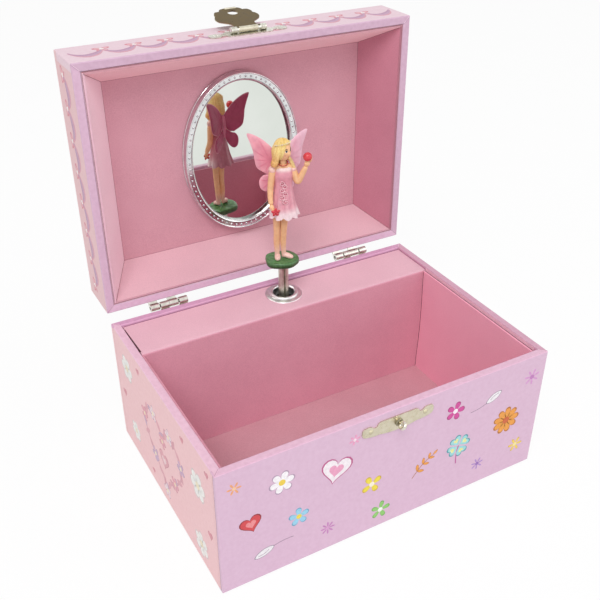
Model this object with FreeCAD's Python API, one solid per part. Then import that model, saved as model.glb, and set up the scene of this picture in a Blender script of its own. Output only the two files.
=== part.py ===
import FreeCAD, Part
import math
import os

V = FreeCAD.Vector

# Wind-up music box: papered wooden box, lined lid with a mirror, turning fairy and comb movement.
# Millimetres. Origin under the middle of the box, +X to the right, +Y to the back, +Z up.

# Box
WIDTH = 152.0
DEPTH = 108.5
BOX_TOP = 60.8
WALL = 3.5
SHEET = 0.5
BOARD_TOP = 2.0
PAD_TOP = 2.8
CARD = 1.1
SHELF_TOP = 59.9
COVER = 2.0
COVER_FRONT = 27.2

# Lid, drawn closed and then swung open about the hinge
LID_HEIGHT = 22.6
LID_GAP = 0.2
LID_OPEN = 90.6
LID_RIM = BOX_TOP + LID_GAP
LID_TOP = LID_RIM + LID_HEIGHT
LINING_DEPTH = 17.9
LINING_RIM_X = 71.4
LINING_RIM_Y = 49.6
LINING_DEEP_X = 60.5
LINING_DEEP_Y = 40.5
HINGE_Y = DEPTH / 2 + 3.0
HINGE_Z = BOX_TOP + LID_GAP / 2
HINGE_X = 48.0
HINGE_LONG = 17.6
KNUCKLES = 4
KNUCKLE_R = 1.7
PIN_R = 0.75
LEAF = 0.7

# Mirror, half sizes of the ovals
MIRROR_X = -1.15
FRAME_A = 27.85
FRAME_B = 36.6
FRAME_BAND = 3.9
FRAME_DEEP = 3.8
GLASS_DEEP = 1.2
GLASS_LAP = 2.1
PAD_DEEP = 0.4

# Clasp on the front
CLASP_X = 0.5
CLASP_Z = LID_RIM + 8.0
CLASP_PROUD = 1.75
CLASP_PLATE = 0.5
CATCH_Z = CLASP_Z - 14.8
FLAP = 0.7
FLAP_SWING = 168.0

# Spindle of the figure and of the pin cylinder
SPIN_X = 2.0
SPIN_Y = 41.2
POST_R = 2.2
WIRE_R = 0.27
COIL_PITCH = 0.6
STAND_Z = 75.5
STAND_DEEP = 3.2
STAND_A = 7.6
STAND_B = 5.8
FIGURE_TURN = -15.8

# Movement
PLATE_FRONT = DEPTH / 2 - WALL - 2.0
PLATE_BACK = DEPTH / 2 - WALL
ARBOR_R = 1.2
RUNNING = 0.05
BARREL_Z = 16.0
BARREL_R = 9.0
CROWN_R = 13.0
CROWN_TEETH = 28
DRIVE_TEETH = 8
WHEEL_TEETH = 40
WHEEL_MODULE = 0.44
PINION_TEETH = 10
WORM_TEETH = 24
WORM_MODULE = 0.42
WORM_R = 1.3
WORM_Z = 29.15
CYLINDER_R = 6.2
CYLINDER_LOW = 34.0
CYLINDER_HIGH = 52.0
NOTES = 18
SECOND_X = SPIN_X - WHEEL_MODULE * (WHEEL_TEETH + PINION_TEETH) / 2
GOVERNOR_X = SECOND_X - WORM_MODULE * WORM_TEETH / 2 - WORM_R

nodes = {}


def block(x0, x1, y0, y1, z0, z1):
    """A box between two corners."""
    return Part.makeBox(x1 - x0, y1 - y0, z1 - z0, V(x0, y0, z0))


def rod(radius, start, end):
    """A round bar from one point to another."""
    along = end - start
    return Part.makeCylinder(radius, along.Length, start, along)


def taper(radius0, radius1, start, end):
    """A round bar that changes from one radius to another."""
    along = end - start
    if abs(radius0 - radius1) < 1e-6:
        return Part.makeCylinder(radius0, along.Length, start, along)
    return Part.makeCone(radius0, radius1, along.Length, start, along)


def joined(shapes):
    """One solid out of shapes that run into each other."""
    whole = shapes[0].multiFuse(shapes[1:])
    return whole.removeSplitter()


def eased(shape, radius, wanted):
    """The shape with a small round on each edge that the test picks."""
    edges = []
    for edge in shape.Edges:
        if wanted(edge):
            edges.append(edge)
    return shape.makeFillet(radius, edges)


def on_plane(edge, axis, place):
    """Whether both ends and the middle of an edge lie at one height along x, y or z."""
    points = [edge.valueAt(edge.FirstParameter), edge.valueAt(edge.LastParameter), edge.CenterOfMass]
    return all(abs(point[axis] - place) < 1e-4 for point in points)


def prism(points, along):
    """A closed outline of points pushed along a vector."""
    return Part.Face(Part.makePolygon(points + [points[0]])).extrude(along)


def hexahedron(near, far):
    """A solid with six flat sides between two four-cornered faces."""
    faces = [Part.Face(Part.makePolygon(near + [near[0]])), Part.Face(Part.makePolygon(far + [far[0]]))]
    for i in range(4):
        j = (i + 1) % 4
        faces.append(Part.Face(Part.makePolygon([near[i], near[j], far[j], far[i], near[i]])))
    solid = Part.makeSolid(Part.makeShell(faces))
    solid.fix(1e-6, 1e-6, 1e-6)
    return solid


def oval(a, b, x, y, z0, z1):
    """An upright oval cylinder with half sizes a along x and b along y."""
    if a >= b:
        curve = Part.Ellipse(V(x + a, y, z0), V(x, y + b, z0), V(x, y, z0))
    else:
        curve = Part.Ellipse(V(x, y + b, z0), V(x - a, y, z0), V(x, y, z0))
    return Part.Face(Part.Wire(curve.toShape())).extrude(V(0, 0, z1 - z0))


def ringed(profile, centre, axis):
    """A profile of (radius, height) points turned a full circle about an upright axis."""
    points = [V(centre.x + radius, centre.y, centre.z + height) for radius, height in profile]
    return Part.Face(Part.makePolygon(points + [points[0]])).revolve(centre, axis, 360)


def toothed(teeth, root_r, tip_r, root_part, tip_part, turn):
    """Outline of a gear with straight-sided teeth, as points in a plane; the parts are shares of a pitch."""
    pitch = 2 * math.pi / teeth
    points = []
    for i in range(teeth):
        middle = turn + i * pitch
        for radius, offset in ((root_r, -root_part), (tip_r, -tip_part), (tip_r, tip_part), (root_r, root_part)):
            angle = middle + offset * pitch
            points.append((radius * math.cos(angle), radius * math.sin(angle)))
    return points


def gear(points, x, y, z0, z1):
    """A gear outline pushed up from z0 to z1 round an upright axis."""
    return prism([V(x + u, y + v, z0) for u, v in points], V(0, 0, z1 - z0))


def tack(place, outward):
    """A small tack with a domed head; the place is on the face that it is driven into."""
    shank = Part.makeCylinder(0.45, 3.0, place, outward * -1)
    head = Part.makeSphere(1.3, place + outward * -0.75)
    keep = Part.makeCylinder(2.0, 2.0, place, outward)
    return joined([shank, head.common(keep)])


def swing_open(shape):
    """A lid piece carried from the closed lid to the open one."""
    moved = shape.copy()
    moved.rotate(V(0, HINGE_Y, HINGE_Z), V(1, 0, 0), -LID_OPEN)
    return moved


# Carcass of the box: four walls round a board, with a thin sheet glued underneath.
HALF_W = WIDTH / 2
HALF_D = DEPTH / 2
INNER_W = HALF_W - WALL
INNER_D = HALF_D - WALL

front_panel = block(-HALF_W, HALF_W, -HALF_D, -INNER_D, SHEET, BOX_TOP)
front_panel = eased(front_panel, 0.5, lambda e: on_plane(e, 1, -HALF_D) or on_plane(e, 2, BOX_TOP))
back_panel = block(-HALF_W, HALF_W, INNER_D, HALF_D, SHEET, BOX_TOP)
back_panel = eased(back_panel, 0.5, lambda e: on_plane(e, 1, HALF_D) or on_plane(e, 2, BOX_TOP))
left_panel = block(-HALF_W, -INNER_W, -INNER_D, INNER_D, SHEET, BOX_TOP)
left_panel = eased(left_panel, 0.5, lambda e: on_plane(e, 2, BOX_TOP) and not on_plane(e, 1, -INNER_D)
                   and not on_plane(e, 1, INNER_D))
right_panel = block(INNER_W, HALF_W, -INNER_D, INNER_D, SHEET, BOX_TOP)
right_panel = eased(right_panel, 0.5, lambda e: on_plane(e, 2, BOX_TOP) and not on_plane(e, 1, -INNER_D)
                    and not on_plane(e, 1, INNER_D))
nodes["base_board"] = block(-INNER_W, INNER_W, -INNER_D, INNER_D, SHEET, BOARD_TOP)
nodes["base_sheet"] = block(-HALF_W + 1.5, HALF_W - 1.5, -HALF_D + 1.5, HALF_D - 1.5, 0, SHEET)

# Flocked card lining of the jewellery compartment, a little below the rim.
LINER_TOP = BOX_TOP - 1.6
LINER_GAP = 0.15
LINER_X = INNER_W - LINER_GAP
LINER_Y = INNER_D - LINER_GAP
nodes["floor_pad"] = block(-LINER_X, LINER_X, -LINER_Y, COVER_FRONT - 0.1, BOARD_TOP, PAD_TOP)
nodes["front_liner"] = block(-LINER_X, LINER_X, -LINER_Y, -LINER_Y + CARD, PAD_TOP, LINER_TOP)
SIDE_START = -LINER_Y + CARD + 0.05
nodes["left_liner"] = block(-LINER_X, -LINER_X + CARD, SIDE_START, COVER_FRONT - 0.1, PAD_TOP, LINER_TOP)
nodes["right_liner"] = block(LINER_X - CARD, LINER_X, SIDE_START, COVER_FRONT - 0.1, PAD_TOP, LINER_TOP)

# Folded cover over the movement: a riser with a shelf, its front fold rounded.
cover = block(-INNER_W + 0.7, INNER_W - 0.2, COVER_FRONT, INNER_D - 0.2, BOARD_TOP, SHELF_TOP)
hollow = block(-INNER_W, INNER_W, COVER_FRONT + COVER, INNER_D, BOARD_TOP - 1, SHELF_TOP - COVER)
cover = eased(cover, 1.2, lambda e: on_plane(e, 1, COVER_FRONT) and on_plane(e, 2, SHELF_TOP)).cut(hollow)
EYELET_R = 5.5
cover = cover.cut(Part.makeCylinder(EYELET_R, 10, V(SPIN_X, SPIN_Y, SHELF_TOP - 5)))
nodes["movement_cover"] = cover

# Eyelet round the post: a domed flange on the shelf, a short sleeve and a rolled lip underneath.
eyelet = [(4.85, -2.9), (4.85, 0.7), (5.3, 1.15), (6.0, 1.35), (7.1, 1.2), (8.3, 0.7), (9.0, 0.3), (9.0, 0.0)]
eyelet += [(EYELET_R, 0.0), (EYELET_R, -COVER), (7.0, -COVER), (6.9, -2.7), (6.2, -2.9)]
nodes["eyelet"] = ringed(eyelet, V(SPIN_X, SPIN_Y, SHELF_TOP), V(0, 0, 1))


# Hinges on the back: cranked leaves with curled knuckles about a pin, one pair at each end.
def hinge_leaf(middle, up, first, bore):
    """One leaf of a hinge; up is 1 for the lid and -1 for the box, first is its first knuckle."""
    low = HINGE_Z + up * 3.0
    high = HINGE_Z + up * 12.0
    back = HINGE_Y - HALF_D
    start = middle - HINGE_LONG / 2
    plate = block(start, start + HINGE_LONG, HALF_D, HALF_D + LEAF, min(low, high), max(low, high))
    pieces = [plate]
    wide = HINGE_LONG / KNUCKLES
    for k in range(first, KNUCKLES, 2):
        x0 = start + k * wide + (0.3 if k % 2 else 0.05)
        x1 = start + (k + 1) * wide - (0.05 if k % 2 else 0.3)
        strap = [(-back, 3.2), (-back + LEAF, 3.8), (0.2, 1.6), (-0.8, 1.4), (-back, 2.6)]
        outline = [V(x0, HINGE_Y + y, HINGE_Z + up * z) for y, z in strap]
        pieces.append(prism(outline, V(x1 - x0, 0, 0)))
        pieces.append(rod(KNUCKLE_R, V(x0, HINGE_Y, HINGE_Z), V(x1, HINGE_Y, HINGE_Z)))
    leaf = joined(pieces)
    return leaf.cut(rod(bore, V(start - 1, HINGE_Y, HINGE_Z), V(start + HINGE_LONG + 1, HINGE_Y, HINGE_Z)))


lower_leaves = []
upper_leaves = []
pins = []
box_tacks = []
lid_tacks = []
for side in (-1, 1):
    middle = side * HINGE_X
    lower_leaves.append(hinge_leaf(middle, -1, 1, PIN_R))
    upper_leaves.append(hinge_leaf(middle, 1, 0, PIN_R + RUNNING))
    half = HINGE_LONG / 2 - 0.1
    pins.append(rod(PIN_R, V(middle - half, HINGE_Y, HINGE_Z), V(middle + half, HINGE_Y, HINGE_Z)))
    for offset in (-5.6, 5.6):
        box_tacks.append(tack(V(middle + offset, HALF_D + LEAF, HINGE_Z - 8.0), V(0, 1, 0)))
        lid_tacks.append(tack(V(middle + offset, HALF_D + LEAF, HINGE_Z + 8.0), V(0, 1, 0)))


def mirrored_outline(half, y0, y1, z):
    """A plate outline from its right half: points joined by arcs that bulge outward by the given amounts."""
    left = [(-u, v, bulge) for u, v, bulge in reversed(half)]
    corners = [(u, v) for u, v, bulge in half] + [(u, v) for u, v, bulge in left]
    bulges = [bulge for u, v, bulge in half[:-1]] + [0.0]
    bulges += [half[len(half) - 2 - i][2] for i in range(len(half) - 1)] + [0.0]
    edges = []
    for i in range(len(corners)):
        u0, v0 = corners[i]
        u1, v1 = corners[(i + 1) % len(corners)]
        if math.hypot(u1 - u0, v1 - v0) < 1e-6:
            continue
        start = V(CLASP_X + u0, y0, z + v0)
        end = V(CLASP_X + u1, y0, z + v1)
        if abs(bulges[i]) < 1e-6:
            edges.append(Part.LineSegment(start, end).toShape())
            continue
        long = math.hypot(u1 - u0, v1 - v0)
        out_u = (v1 - v0) / long * bulges[i]
        out_v = -(u1 - u0) / long * bulges[i]
        mid = V((start.x + end.x) / 2 - out_u, y0, (start.z + end.z) / 2 - out_v)
        edges.append(Part.Arc(start, mid, end).toShape())
    return Part.Face(Part.Wire(Part.__sortEdges__(edges))).extrude(V(0, y1 - y0, 0))


# Catch on the box front: a shaped plate held by two tacks, and a turning staple.
FRONT = -HALF_D
catch_half = [(0.0, 3.2, 0.0), (7.6, 3.2, 0.5), (9.8, 1.5, -0.5), (12.0, 2.0, 0.3), (14.6, 2.4, 0.8),
              (16.4, 0.4, 0.5), (15.4, -1.9, 0.3), (8.6, -2.7, 0.3), (0.0, -3.6, 0.0)]
catch_plate = mirrored_outline(catch_half, FRONT - CLASP_PLATE, FRONT, CATCH_Z)
for side in (-1, 1):
    box_tacks.append(tack(V(CLASP_X + side * 12.6, FRONT - CLASP_PLATE, CATCH_Z), V(0, -1, 0)))
STAPLE = V(CLASP_X, FRONT - CLASP_PLATE, CATCH_Z)
out = V(0, -1, 0)
collar = Part.makeCylinder(1.6, 0.6, STAPLE, out)
neck = Part.makeCylinder(0.9, 3.0, STAPLE, out)
peg = Part.makeCylinder(0.8, 2.6, STAPLE, out * -1)
loop = Part.makeTorus(1.35, 0.65, STAPLE + out * 3.8, V(0, 0, 1))
nodes["catch_staple"] = joined([collar, neck, peg, loop])
bored_staple = Part.makeCylinder(0.8 + RUNNING, 2.7, STAPLE, out * -1)
catch_plate = catch_plate.cut(bored_staple)

box_tacks = Part.makeCompound(box_tacks)
catch_plate = catch_plate.cut(box_tacks)
front_panel = front_panel.cut(box_tacks).cut(bored_staple)
lower_leaves = Part.makeCompound([leaf.cut(box_tacks) for leaf in lower_leaves])
nodes["box_tacks"] = box_tacks
nodes["catch_plate"] = catch_plate
nodes["hinge_leaves_box"] = lower_leaves
nodes["hinge_pins"] = Part.makeCompound(pins)

# Lid: a top panel on four rails.
lid_top = block(-HALF_W, HALF_W, -HALF_D, HALF_D, LID_TOP - WALL, LID_TOP)
lid_top = eased(lid_top, 0.6, lambda e: not on_plane(e, 2, LID_TOP - WALL))
lid_front = block(-HALF_W, HALF_W, -HALF_D, -INNER_D, LID_RIM, LID_TOP - WALL)
lid_front = eased(lid_front, 0.5, lambda e: on_plane(e, 2, LID_RIM) or
                  (on_plane(e, 1, -HALF_D) and not on_plane(e, 2, LID_TOP - WALL)))
lid_back = block(-HALF_W, HALF_W, INNER_D, HALF_D, LID_RIM, LID_TOP - WALL)
lid_back = eased(lid_back, 0.5, lambda e: on_plane(e, 2, LID_RIM) or
                 (on_plane(e, 1, HALF_D) and not on_plane(e, 2, LID_TOP - WALL)))
lid_left = block(-HALF_W, -INNER_W, -INNER_D, INNER_D, LID_RIM, LID_TOP - WALL)
lid_left = eased(lid_left, 0.5, lambda e: on_plane(e, 2, LID_RIM) and not on_plane(e, 1, -INNER_D)
                 and not on_plane(e, 1, INNER_D))
lid_right = block(INNER_W, HALF_W, -INNER_D, INNER_D, LID_RIM, LID_TOP - WALL)
lid_right = eased(lid_right, 0.5, lambda e: on_plane(e, 2, LID_RIM) and not on_plane(e, 1, -INNER_D)
                  and not on_plane(e, 1, INNER_D))


def lining_slope(corners):
    """A sloping lining card between the rim and the deep panel; corners give x and y at the rim and deep."""
    z0 = LID_RIM + 0.4
    z1 = LID_RIM + LINING_DEPTH
    rim_a, rim_b, deep_b, deep_a = corners
    near = [V(rim_a[0], rim_a[1], z0), V(rim_b[0], rim_b[1], z0)]
    near += [V(deep_b[0], deep_b[1], z1), V(deep_a[0], deep_a[1], z1)]
    far = []
    for point in near:
        far.append(V(point.x + math.copysign(1.0, point.x), point.y + math.copysign(1.0, point.y), point.z))
    return hexahedron(near, far)


RX, RY, DX, DY = LINING_RIM_X, LINING_RIM_Y, LINING_DEEP_X, LINING_DEEP_Y
lid_nodes = {}
lid_nodes["lid_lining_front"] = lining_slope([(-RX, -RY), (RX, -RY), (DX, -DY), (-DX, -DY)])
lid_nodes["lid_lining_back"] = lining_slope([(RX, RY), (-RX, RY), (-DX, DY), (DX, DY)])
lid_nodes["lid_lining_left"] = lining_slope([(-RX, RY), (-RX, -RY), (-DX, -DY), (-DX, DY)])
lid_nodes["lid_lining_right"] = lining_slope([(RX, -RY), (RX, RY), (DX, DY), (DX, -DY)])
DEEP_Z = LID_RIM + LINING_DEPTH
lid_nodes["lid_lining_centre"] = block(-INNER_W + 0.3, INNER_W - 0.3, -INNER_D + 0.3, INNER_D - 0.3,
                                       DEEP_Z, LID_TOP - WALL)

# Mirror: oval glass in a rebated frame, held to the lining by a pad.
GLASS_Z = DEEP_Z - PAD_DEEP
FACE_Z = GLASS_Z - FRAME_DEEP
open_a = FRAME_A - FRAME_BAND
open_b = FRAME_B - FRAME_BAND
glass_a = open_a + GLASS_LAP
glass_b = open_b + GLASS_LAP
frame = oval(FRAME_A, FRAME_B, MIRROR_X, 0, FACE_Z, GLASS_Z)
frame = frame.cut(oval(open_a, open_b, MIRROR_X, 0, FACE_Z - 1, GLASS_Z + 1))
frame = frame.cut(oval(glass_a, glass_b, MIRROR_X, 0, GLASS_Z - GLASS_DEEP, GLASS_Z + 1))
frame = eased(frame, 0.7, lambda e: on_plane(e, 2, FACE_Z))
lid_nodes["mirror_frame"] = frame
lid_nodes["mirror_glass"] = oval(glass_a - 0.1, glass_b - 0.1, MIRROR_X, 0, GLASS_Z - GLASS_DEEP, GLASS_Z)
lid_nodes["mirror_pad"] = oval(FRAME_A - 2.0, FRAME_B - 2.0, MIRROR_X, 0, GLASS_Z, DEEP_Z)

# Clasp on the lid front: a shaped plate with two lugs, a pin and a scalloped flap with a slot.
AXIS_Y = FRONT - CLASP_PROUD
clasp_half = [(0.0, 3.3, 0.0), (8.6, 3.3, 0.5), (10.6, 1.7, -0.5), (12.8, 2.1, 0.3), (15.6, 2.4, 0.8),
              (17.5, 0.0, 0.8), (15.6, -2.4, 0.3), (12.8, -2.1, -0.5), (10.6, -1.7, 0.5), (8.6, -3.3, 0.0),
              (0.0, -3.3, 0.0)]
clasp_plate = mirrored_outline(clasp_half, FRONT - CLASP_PLATE, FRONT, CLASP_Z)
lugs = [clasp_plate]
for side in (-1, 1):
    lugs.append(rod(1.3, V(CLASP_X + side * 5.2, AXIS_Y, CLASP_Z), V(CLASP_X + side * 8.0, AXIS_Y, CLASP_Z)))
    lid_tacks.append(tack(V(CLASP_X + side * 13.6, FRONT - CLASP_PLATE, CLASP_Z), V(0, -1, 0)))
CLASP_PIN_R = 0.65
clasp_pin = rod(CLASP_PIN_R, V(CLASP_X - 8.0, AXIS_Y, CLASP_Z), V(CLASP_X + 8.0, AXIS_Y, CLASP_Z))
lid_tacks = Part.makeCompound(lid_tacks)
clasp_plate = joined(lugs).cut(clasp_pin).cut(lid_tacks)
flap_half = [(0.0, -0.6, 0.0), (5.0, -0.6, 0.0), (5.0, -4.4, -0.7), (9.2, -8.4, 0.8), (9.8, -12.4, 0.8),
             (7.4, -16.2, 0.7), (3.0, -18.4, 0.2), (0.0, -19.2, 0.0)]
flap = mirrored_outline(flap_half, AXIS_Y - FLAP / 2, AXIS_Y + FLAP / 2, CLASP_Z)
SLOT_Z = CLASP_Z - 15.2
slot = [rod(1.7, V(CLASP_X + u, AXIS_Y - 1, SLOT_Z), V(CLASP_X + u, AXIS_Y + 1, SLOT_Z)) for u in (-1.2, 1.2)]
slot.append(block(CLASP_X - 1.2, CLASP_X + 1.2, AXIS_Y - 1, AXIS_Y + 1, SLOT_Z - 1.7, SLOT_Z + 1.7))
lip = block(CLASP_X - 2.6, CLASP_X + 2.6, AXIS_Y - 1.5, AXIS_Y + FLAP / 2, CLASP_Z - 19.5, CLASP_Z - 18.7)
flap_barrel = rod(1.2, V(CLASP_X - 5.0, AXIS_Y, CLASP_Z), V(CLASP_X + 5.0, AXIS_Y, CLASP_Z))
flap_bore = rod(CLASP_PIN_R + RUNNING, V(CLASP_X - 9, AXIS_Y, CLASP_Z), V(CLASP_X + 9, AXIS_Y, CLASP_Z))
flap = joined([flap, lip, flap_barrel]).cut(joined(slot)).cut(flap_bore)
flap.rotate(V(CLASP_X, AXIS_Y, CLASP_Z), V(1, 0, 0), -FLAP_SWING)

lid_nodes["clasp_flap"] = flap
lid_nodes["clasp_plate"] = clasp_plate
lid_nodes["clasp_pin"] = clasp_pin
lid_nodes["lid_tacks"] = lid_tacks
lid_nodes["hinge_leaves_lid"] = Part.makeCompound([leaf.cut(lid_tacks) for leaf in upper_leaves])
lid_nodes["lid_top"] = lid_top
lid_nodes["lid_front_rail"] = lid_front.cut(lid_tacks)
lid_nodes["lid_back_rail"] = lid_back.cut(lid_tacks)
lid_nodes["lid_left_rail"] = lid_left
lid_nodes["lid_right_rail"] = lid_right
for name, shape in lid_nodes.items():
    nodes[name] = swing_open(shape)

# Bedplate of the movement: bearing arms for the spindle, a seat for the comb, a window for the wheel.
plate = block(SPIN_X - 28, SPIN_X + 28, PLATE_FRONT, PLATE_BACK, 3.8, 54.6)
arms = [plate]
for z0, z1 in ((29.4, 31.2), (52.6, 54.6)):
    arms.append(block(SPIN_X - 3.2, SPIN_X + 3.2, SPIN_Y, PLATE_FRONT + 0.5, z0, z1))
    arms.append(Part.makeCylinder(3.2, z1 - z0, V(SPIN_X, SPIN_Y, z0)))
COMB_FACE = SPIN_Y + 0.5
arms.append(block(SPIN_X + 17, SPIN_X + 27, COMB_FACE, PLATE_FRONT + 0.5, CYLINDER_LOW, CYLINDER_HIGH))
bedplate = joined(arms)
bedplate = bedplate.cut(block(SPIN_X - 6, SPIN_X + 6, PLATE_FRONT - 0.1, PLATE_BACK + 1, 31.4, 34.0))
bedplate = bedplate.cut(Part.makeCylinder(ARBOR_R + RUNNING, 40, V(SPIN_X, SPIN_Y, 20)))
WIND_R = 2.0
wind_axis = V(SPIN_X, 0, BARREL_Z)
bedplate = bedplate.cut(rod(WIND_R + RUNNING, wind_axis + V(0, 40, 0), wind_axis + V(0, 60, 0)))
PIVOT_R = 0.5
worm_axis = V(GOVERNOR_X, 0, WORM_Z)
bedplate = bedplate.cut(rod(PIVOT_R + RUNNING, worm_axis + V(0, 40, 0), worm_axis + V(0, 60, 0)))


# Screws: wood screws through the back wall into the bedplate, small ones for the comb and the bracket.
def screw(place, head_r, head_high, shank_r, shank_long, along):
    """A slotted pan-head screw; the place is under its head and the shank runs along the vector."""
    head = Part.makeCylinder(head_r, head_high, place, along * -1)
    shank = Part.makeCylinder(shank_r, shank_long, place, along)
    middle = place + along * -head_high
    slot_low = V(middle.x - head_r, middle.y - 0.35, middle.z - 0.3)
    cut = Part.makeBox(2 * head_r, 0.7, 0.6, slot_low)
    return joined([head, shank]).cut(cut)


wood_screws = []
for x in (SPIN_X - 24, SPIN_X + 24):
    for z in (8.0, 50.0):
        wood_screws.append(screw(V(x, HALF_D, z), 2.6, 1.4, 1.3, 5.3, V(0, -1, 0)))
wood_screws = Part.makeCompound(wood_screws)
small_screws = []
for z in (38.0, 48.0):
    small_screws.append(screw(V(SPIN_X + 22, COMB_FACE - 1.0, z), 1.8, 1.0, 0.9, 5.0, V(0, 1, 0)))
small_screws.append(screw(V(SPIN_X - 25.8, PLATE_FRONT - 1.2, 32.0), 1.8, 1.0, 0.9, 2.6, V(0, 1, 0)))
small_screws = Part.makeCompound(small_screws)
bedplate = bedplate.cut(wood_screws).cut(small_screws)
back_panel = back_panel.cut(wood_screws).cut(box_tacks)
back_panel = back_panel.cut(rod(4.0, wind_axis + V(0, 40, 0), wind_axis + V(0, 60, 0)))
nodes["bedplate"] = bedplate
nodes["wood_screws"] = wood_screws
nodes["small_screws"] = small_screws
nodes["front_panel"] = front_panel
nodes["back_panel"] = back_panel
nodes["left_panel"] = left_panel
nodes["right_panel"] = right_panel

# Comb: a steel plate with a tooth for each note, the slots longer towards the low notes.
comb = block(SPIN_X + 6.95, SPIN_X + 27, COMB_FACE - 1.0, COMB_FACE, CYLINDER_LOW, CYLINDER_HIGH)
slots = []
for i in range(1, NOTES):
    z = CYLINDER_LOW + i
    slots.append(block(SPIN_X + 6, SPIN_X + 17.2 - 0.22 * i, COMB_FACE - 2, COMB_FACE + 1, z - 0.1, z + 0.1))
comb = comb.cut(Part.makeCompound(slots)).cut(small_screws)
nodes["comb"] = comb

# Spring barrel: a drum with crown teeth on its flange, a cap, a coiled mainspring and the winding arbor.
DRUM_FRONT = 33.5
DRUM_BACK = 45.4
drum = [rod(BARREL_R, wind_axis + V(0, DRUM_FRONT, 0), wind_axis + V(0, DRUM_BACK + 1, 0))]
drum.append(rod(CROWN_R, wind_axis + V(0, DRUM_BACK, 0), wind_axis + V(0, DRUM_BACK + 1.8, 0)))
crown_pitch = 2 * math.pi / CROWN_TEETH
for i in range(CROWN_TEETH):
    middle = math.pi / 2 + (i + 0.5) * crown_pitch
    corners = []
    for radius, side in ((9.9, -1), (12.4, -1), (12.4, 1), (9.9, 1)):
        angle = middle + side * 0.37 / 11.1
        corners.append(wind_axis + V(radius * math.cos(angle), DRUM_BACK + 0.2, radius * math.sin(angle)))
    drum.append(prism(corners, V(0, -2.0, 0)))
drum = joined(drum)
drum = drum.cut(rod(BARREL_R - 0.8, wind_axis + V(0, DRUM_FRONT - 1, 0), wind_axis + V(0, DRUM_BACK, 0)))
drum = drum.cut(rod(WIND_R + RUNNING, wind_axis + V(0, 30, 0), wind_axis + V(0, 60, 0)))
nodes["spring_barrel"] = drum
cap = rod(BARREL_R, wind_axis + V(0, DRUM_FRONT - 0.8, 0), wind_axis + V(0, DRUM_FRONT, 0))
nodes["barrel_cap"] = cap.cut(rod(WIND_R + RUNNING, wind_axis + V(0, 30, 0), wind_axis + V(0, 60, 0)))
TURNS = 6
STEPS = 20
inner_edge = []
outer_edge = []
for i in range(TURNS * STEPS + 1):
    angle = 2 * math.pi * i / STEPS
    radius = 2.4 + (7.7 - 2.4) * i / (TURNS * STEPS)
    for edge, r in ((inner_edge, radius), (outer_edge, radius + 0.35)):
        edge.append(wind_axis + V(r * math.cos(angle), DRUM_FRONT + 0.6, r * math.sin(angle)))
nodes["mainspring"] = prism(inner_edge + outer_edge[::-1], V(0, DRUM_BACK - DRUM_FRONT - 1.2, 0))
KEY_SEAT = 57.0
nodes["winding_arbor"] = rod(WIND_R, wind_axis + V(0, DRUM_FRONT - 0.8, 0), wind_axis + V(0, KEY_SEAT + 4, 0))
clutch = rod(3.0, wind_axis + V(0, 47.3, 0), wind_axis + V(0, PLATE_FRONT, 0))
nodes["clutch_spring"] = clutch.cut(rod(WIND_R + RUNNING, wind_axis + V(0, 40, 0), wind_axis + V(0, 60, 0)))

# Winding key: a neck on the arbor with two flat pierced wings.
neck = rod(3.0, wind_axis + V(0, KEY_SEAT, 0), wind_axis + V(0, KEY_SEAT + 6, 0))
wings = []
holes = [rod(WIND_R, wind_axis + V(0, 40, 0), wind_axis + V(0, KEY_SEAT + 4, 0))]
for side in (-1, 1):
    centre = wind_axis + V(side * 6.0, KEY_SEAT + 9.6, -0.7)
    wings.append(Part.makeCylinder(5.4, 1.4, centre))
    holes.append(Part.makeCylinder(2.3, 3.0, centre + V(side * 0.6, 0, -1)))
bridge = block(SPIN_X - 5, SPIN_X + 5, KEY_SEAT + 4.5, KEY_SEAT + 11.5, BARREL_Z - 0.7, BARREL_Z + 0.7)
key = joined([neck, bridge] + wings)
for hole in holes:
    key = key.cut(hole)
nodes["winding_key"] = key

# Spindle: an arbor with its drive pinion, a toothed wheel, the pin cylinder and a ferrule for the post.
spin_axis = V(SPIN_X, SPIN_Y, 0)
drive = toothed(DRIVE_TEETH, 2.2, 3.9, 0.24, 0.10, math.pi / 2)
arbor = joined([rod(ARBOR_R, spin_axis + V(0, 0, 25.7), spin_axis + V(0, 0, 59.5)),
                gear(drive, SPIN_X, SPIN_Y, 26.1, 28.1)])
nodes["cylinder_arbor"] = arbor
bore = rod(ARBOR_R, spin_axis + V(0, 0, 20), spin_axis + V(0, 0, 70))
wheel_r = WHEEL_MODULE * WHEEL_TEETH / 2
wheel = toothed(WHEEL_TEETH, wheel_r - 0.5, wheel_r + 0.36, 0.27, 0.10, 0.0)
nodes["cylinder_wheel"] = gear(wheel, SPIN_X, SPIN_Y, 32.0, 33.4).cut(bore)
barrel_pins = [rod(CYLINDER_R, spin_axis + V(0, 0, CYLINDER_LOW), spin_axis + V(0, 0, CYLINDER_HIGH))]
for note in range(NOTES):
    for beat in range(3):
        angle = math.radians(137.5 * (note * 3 + beat) + 41 * beat)
        away = V(math.cos(angle), math.sin(angle), 0)
        foot = spin_axis + away * (CYLINDER_R - 0.3) + V(0, 0, CYLINDER_LOW + 0.5 + note)
        barrel_pins.append(Part.makeCylinder(0.25, 0.8, foot, away))
nodes["pin_cylinder"] = joined(barrel_pins).cut(bore)
ferrule = rod(POST_R, spin_axis + V(0, 0, 54.9), spin_axis + V(0, 0, 57.5))
nodes["spindle_ferrule"] = ferrule.cut(bore)

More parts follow.
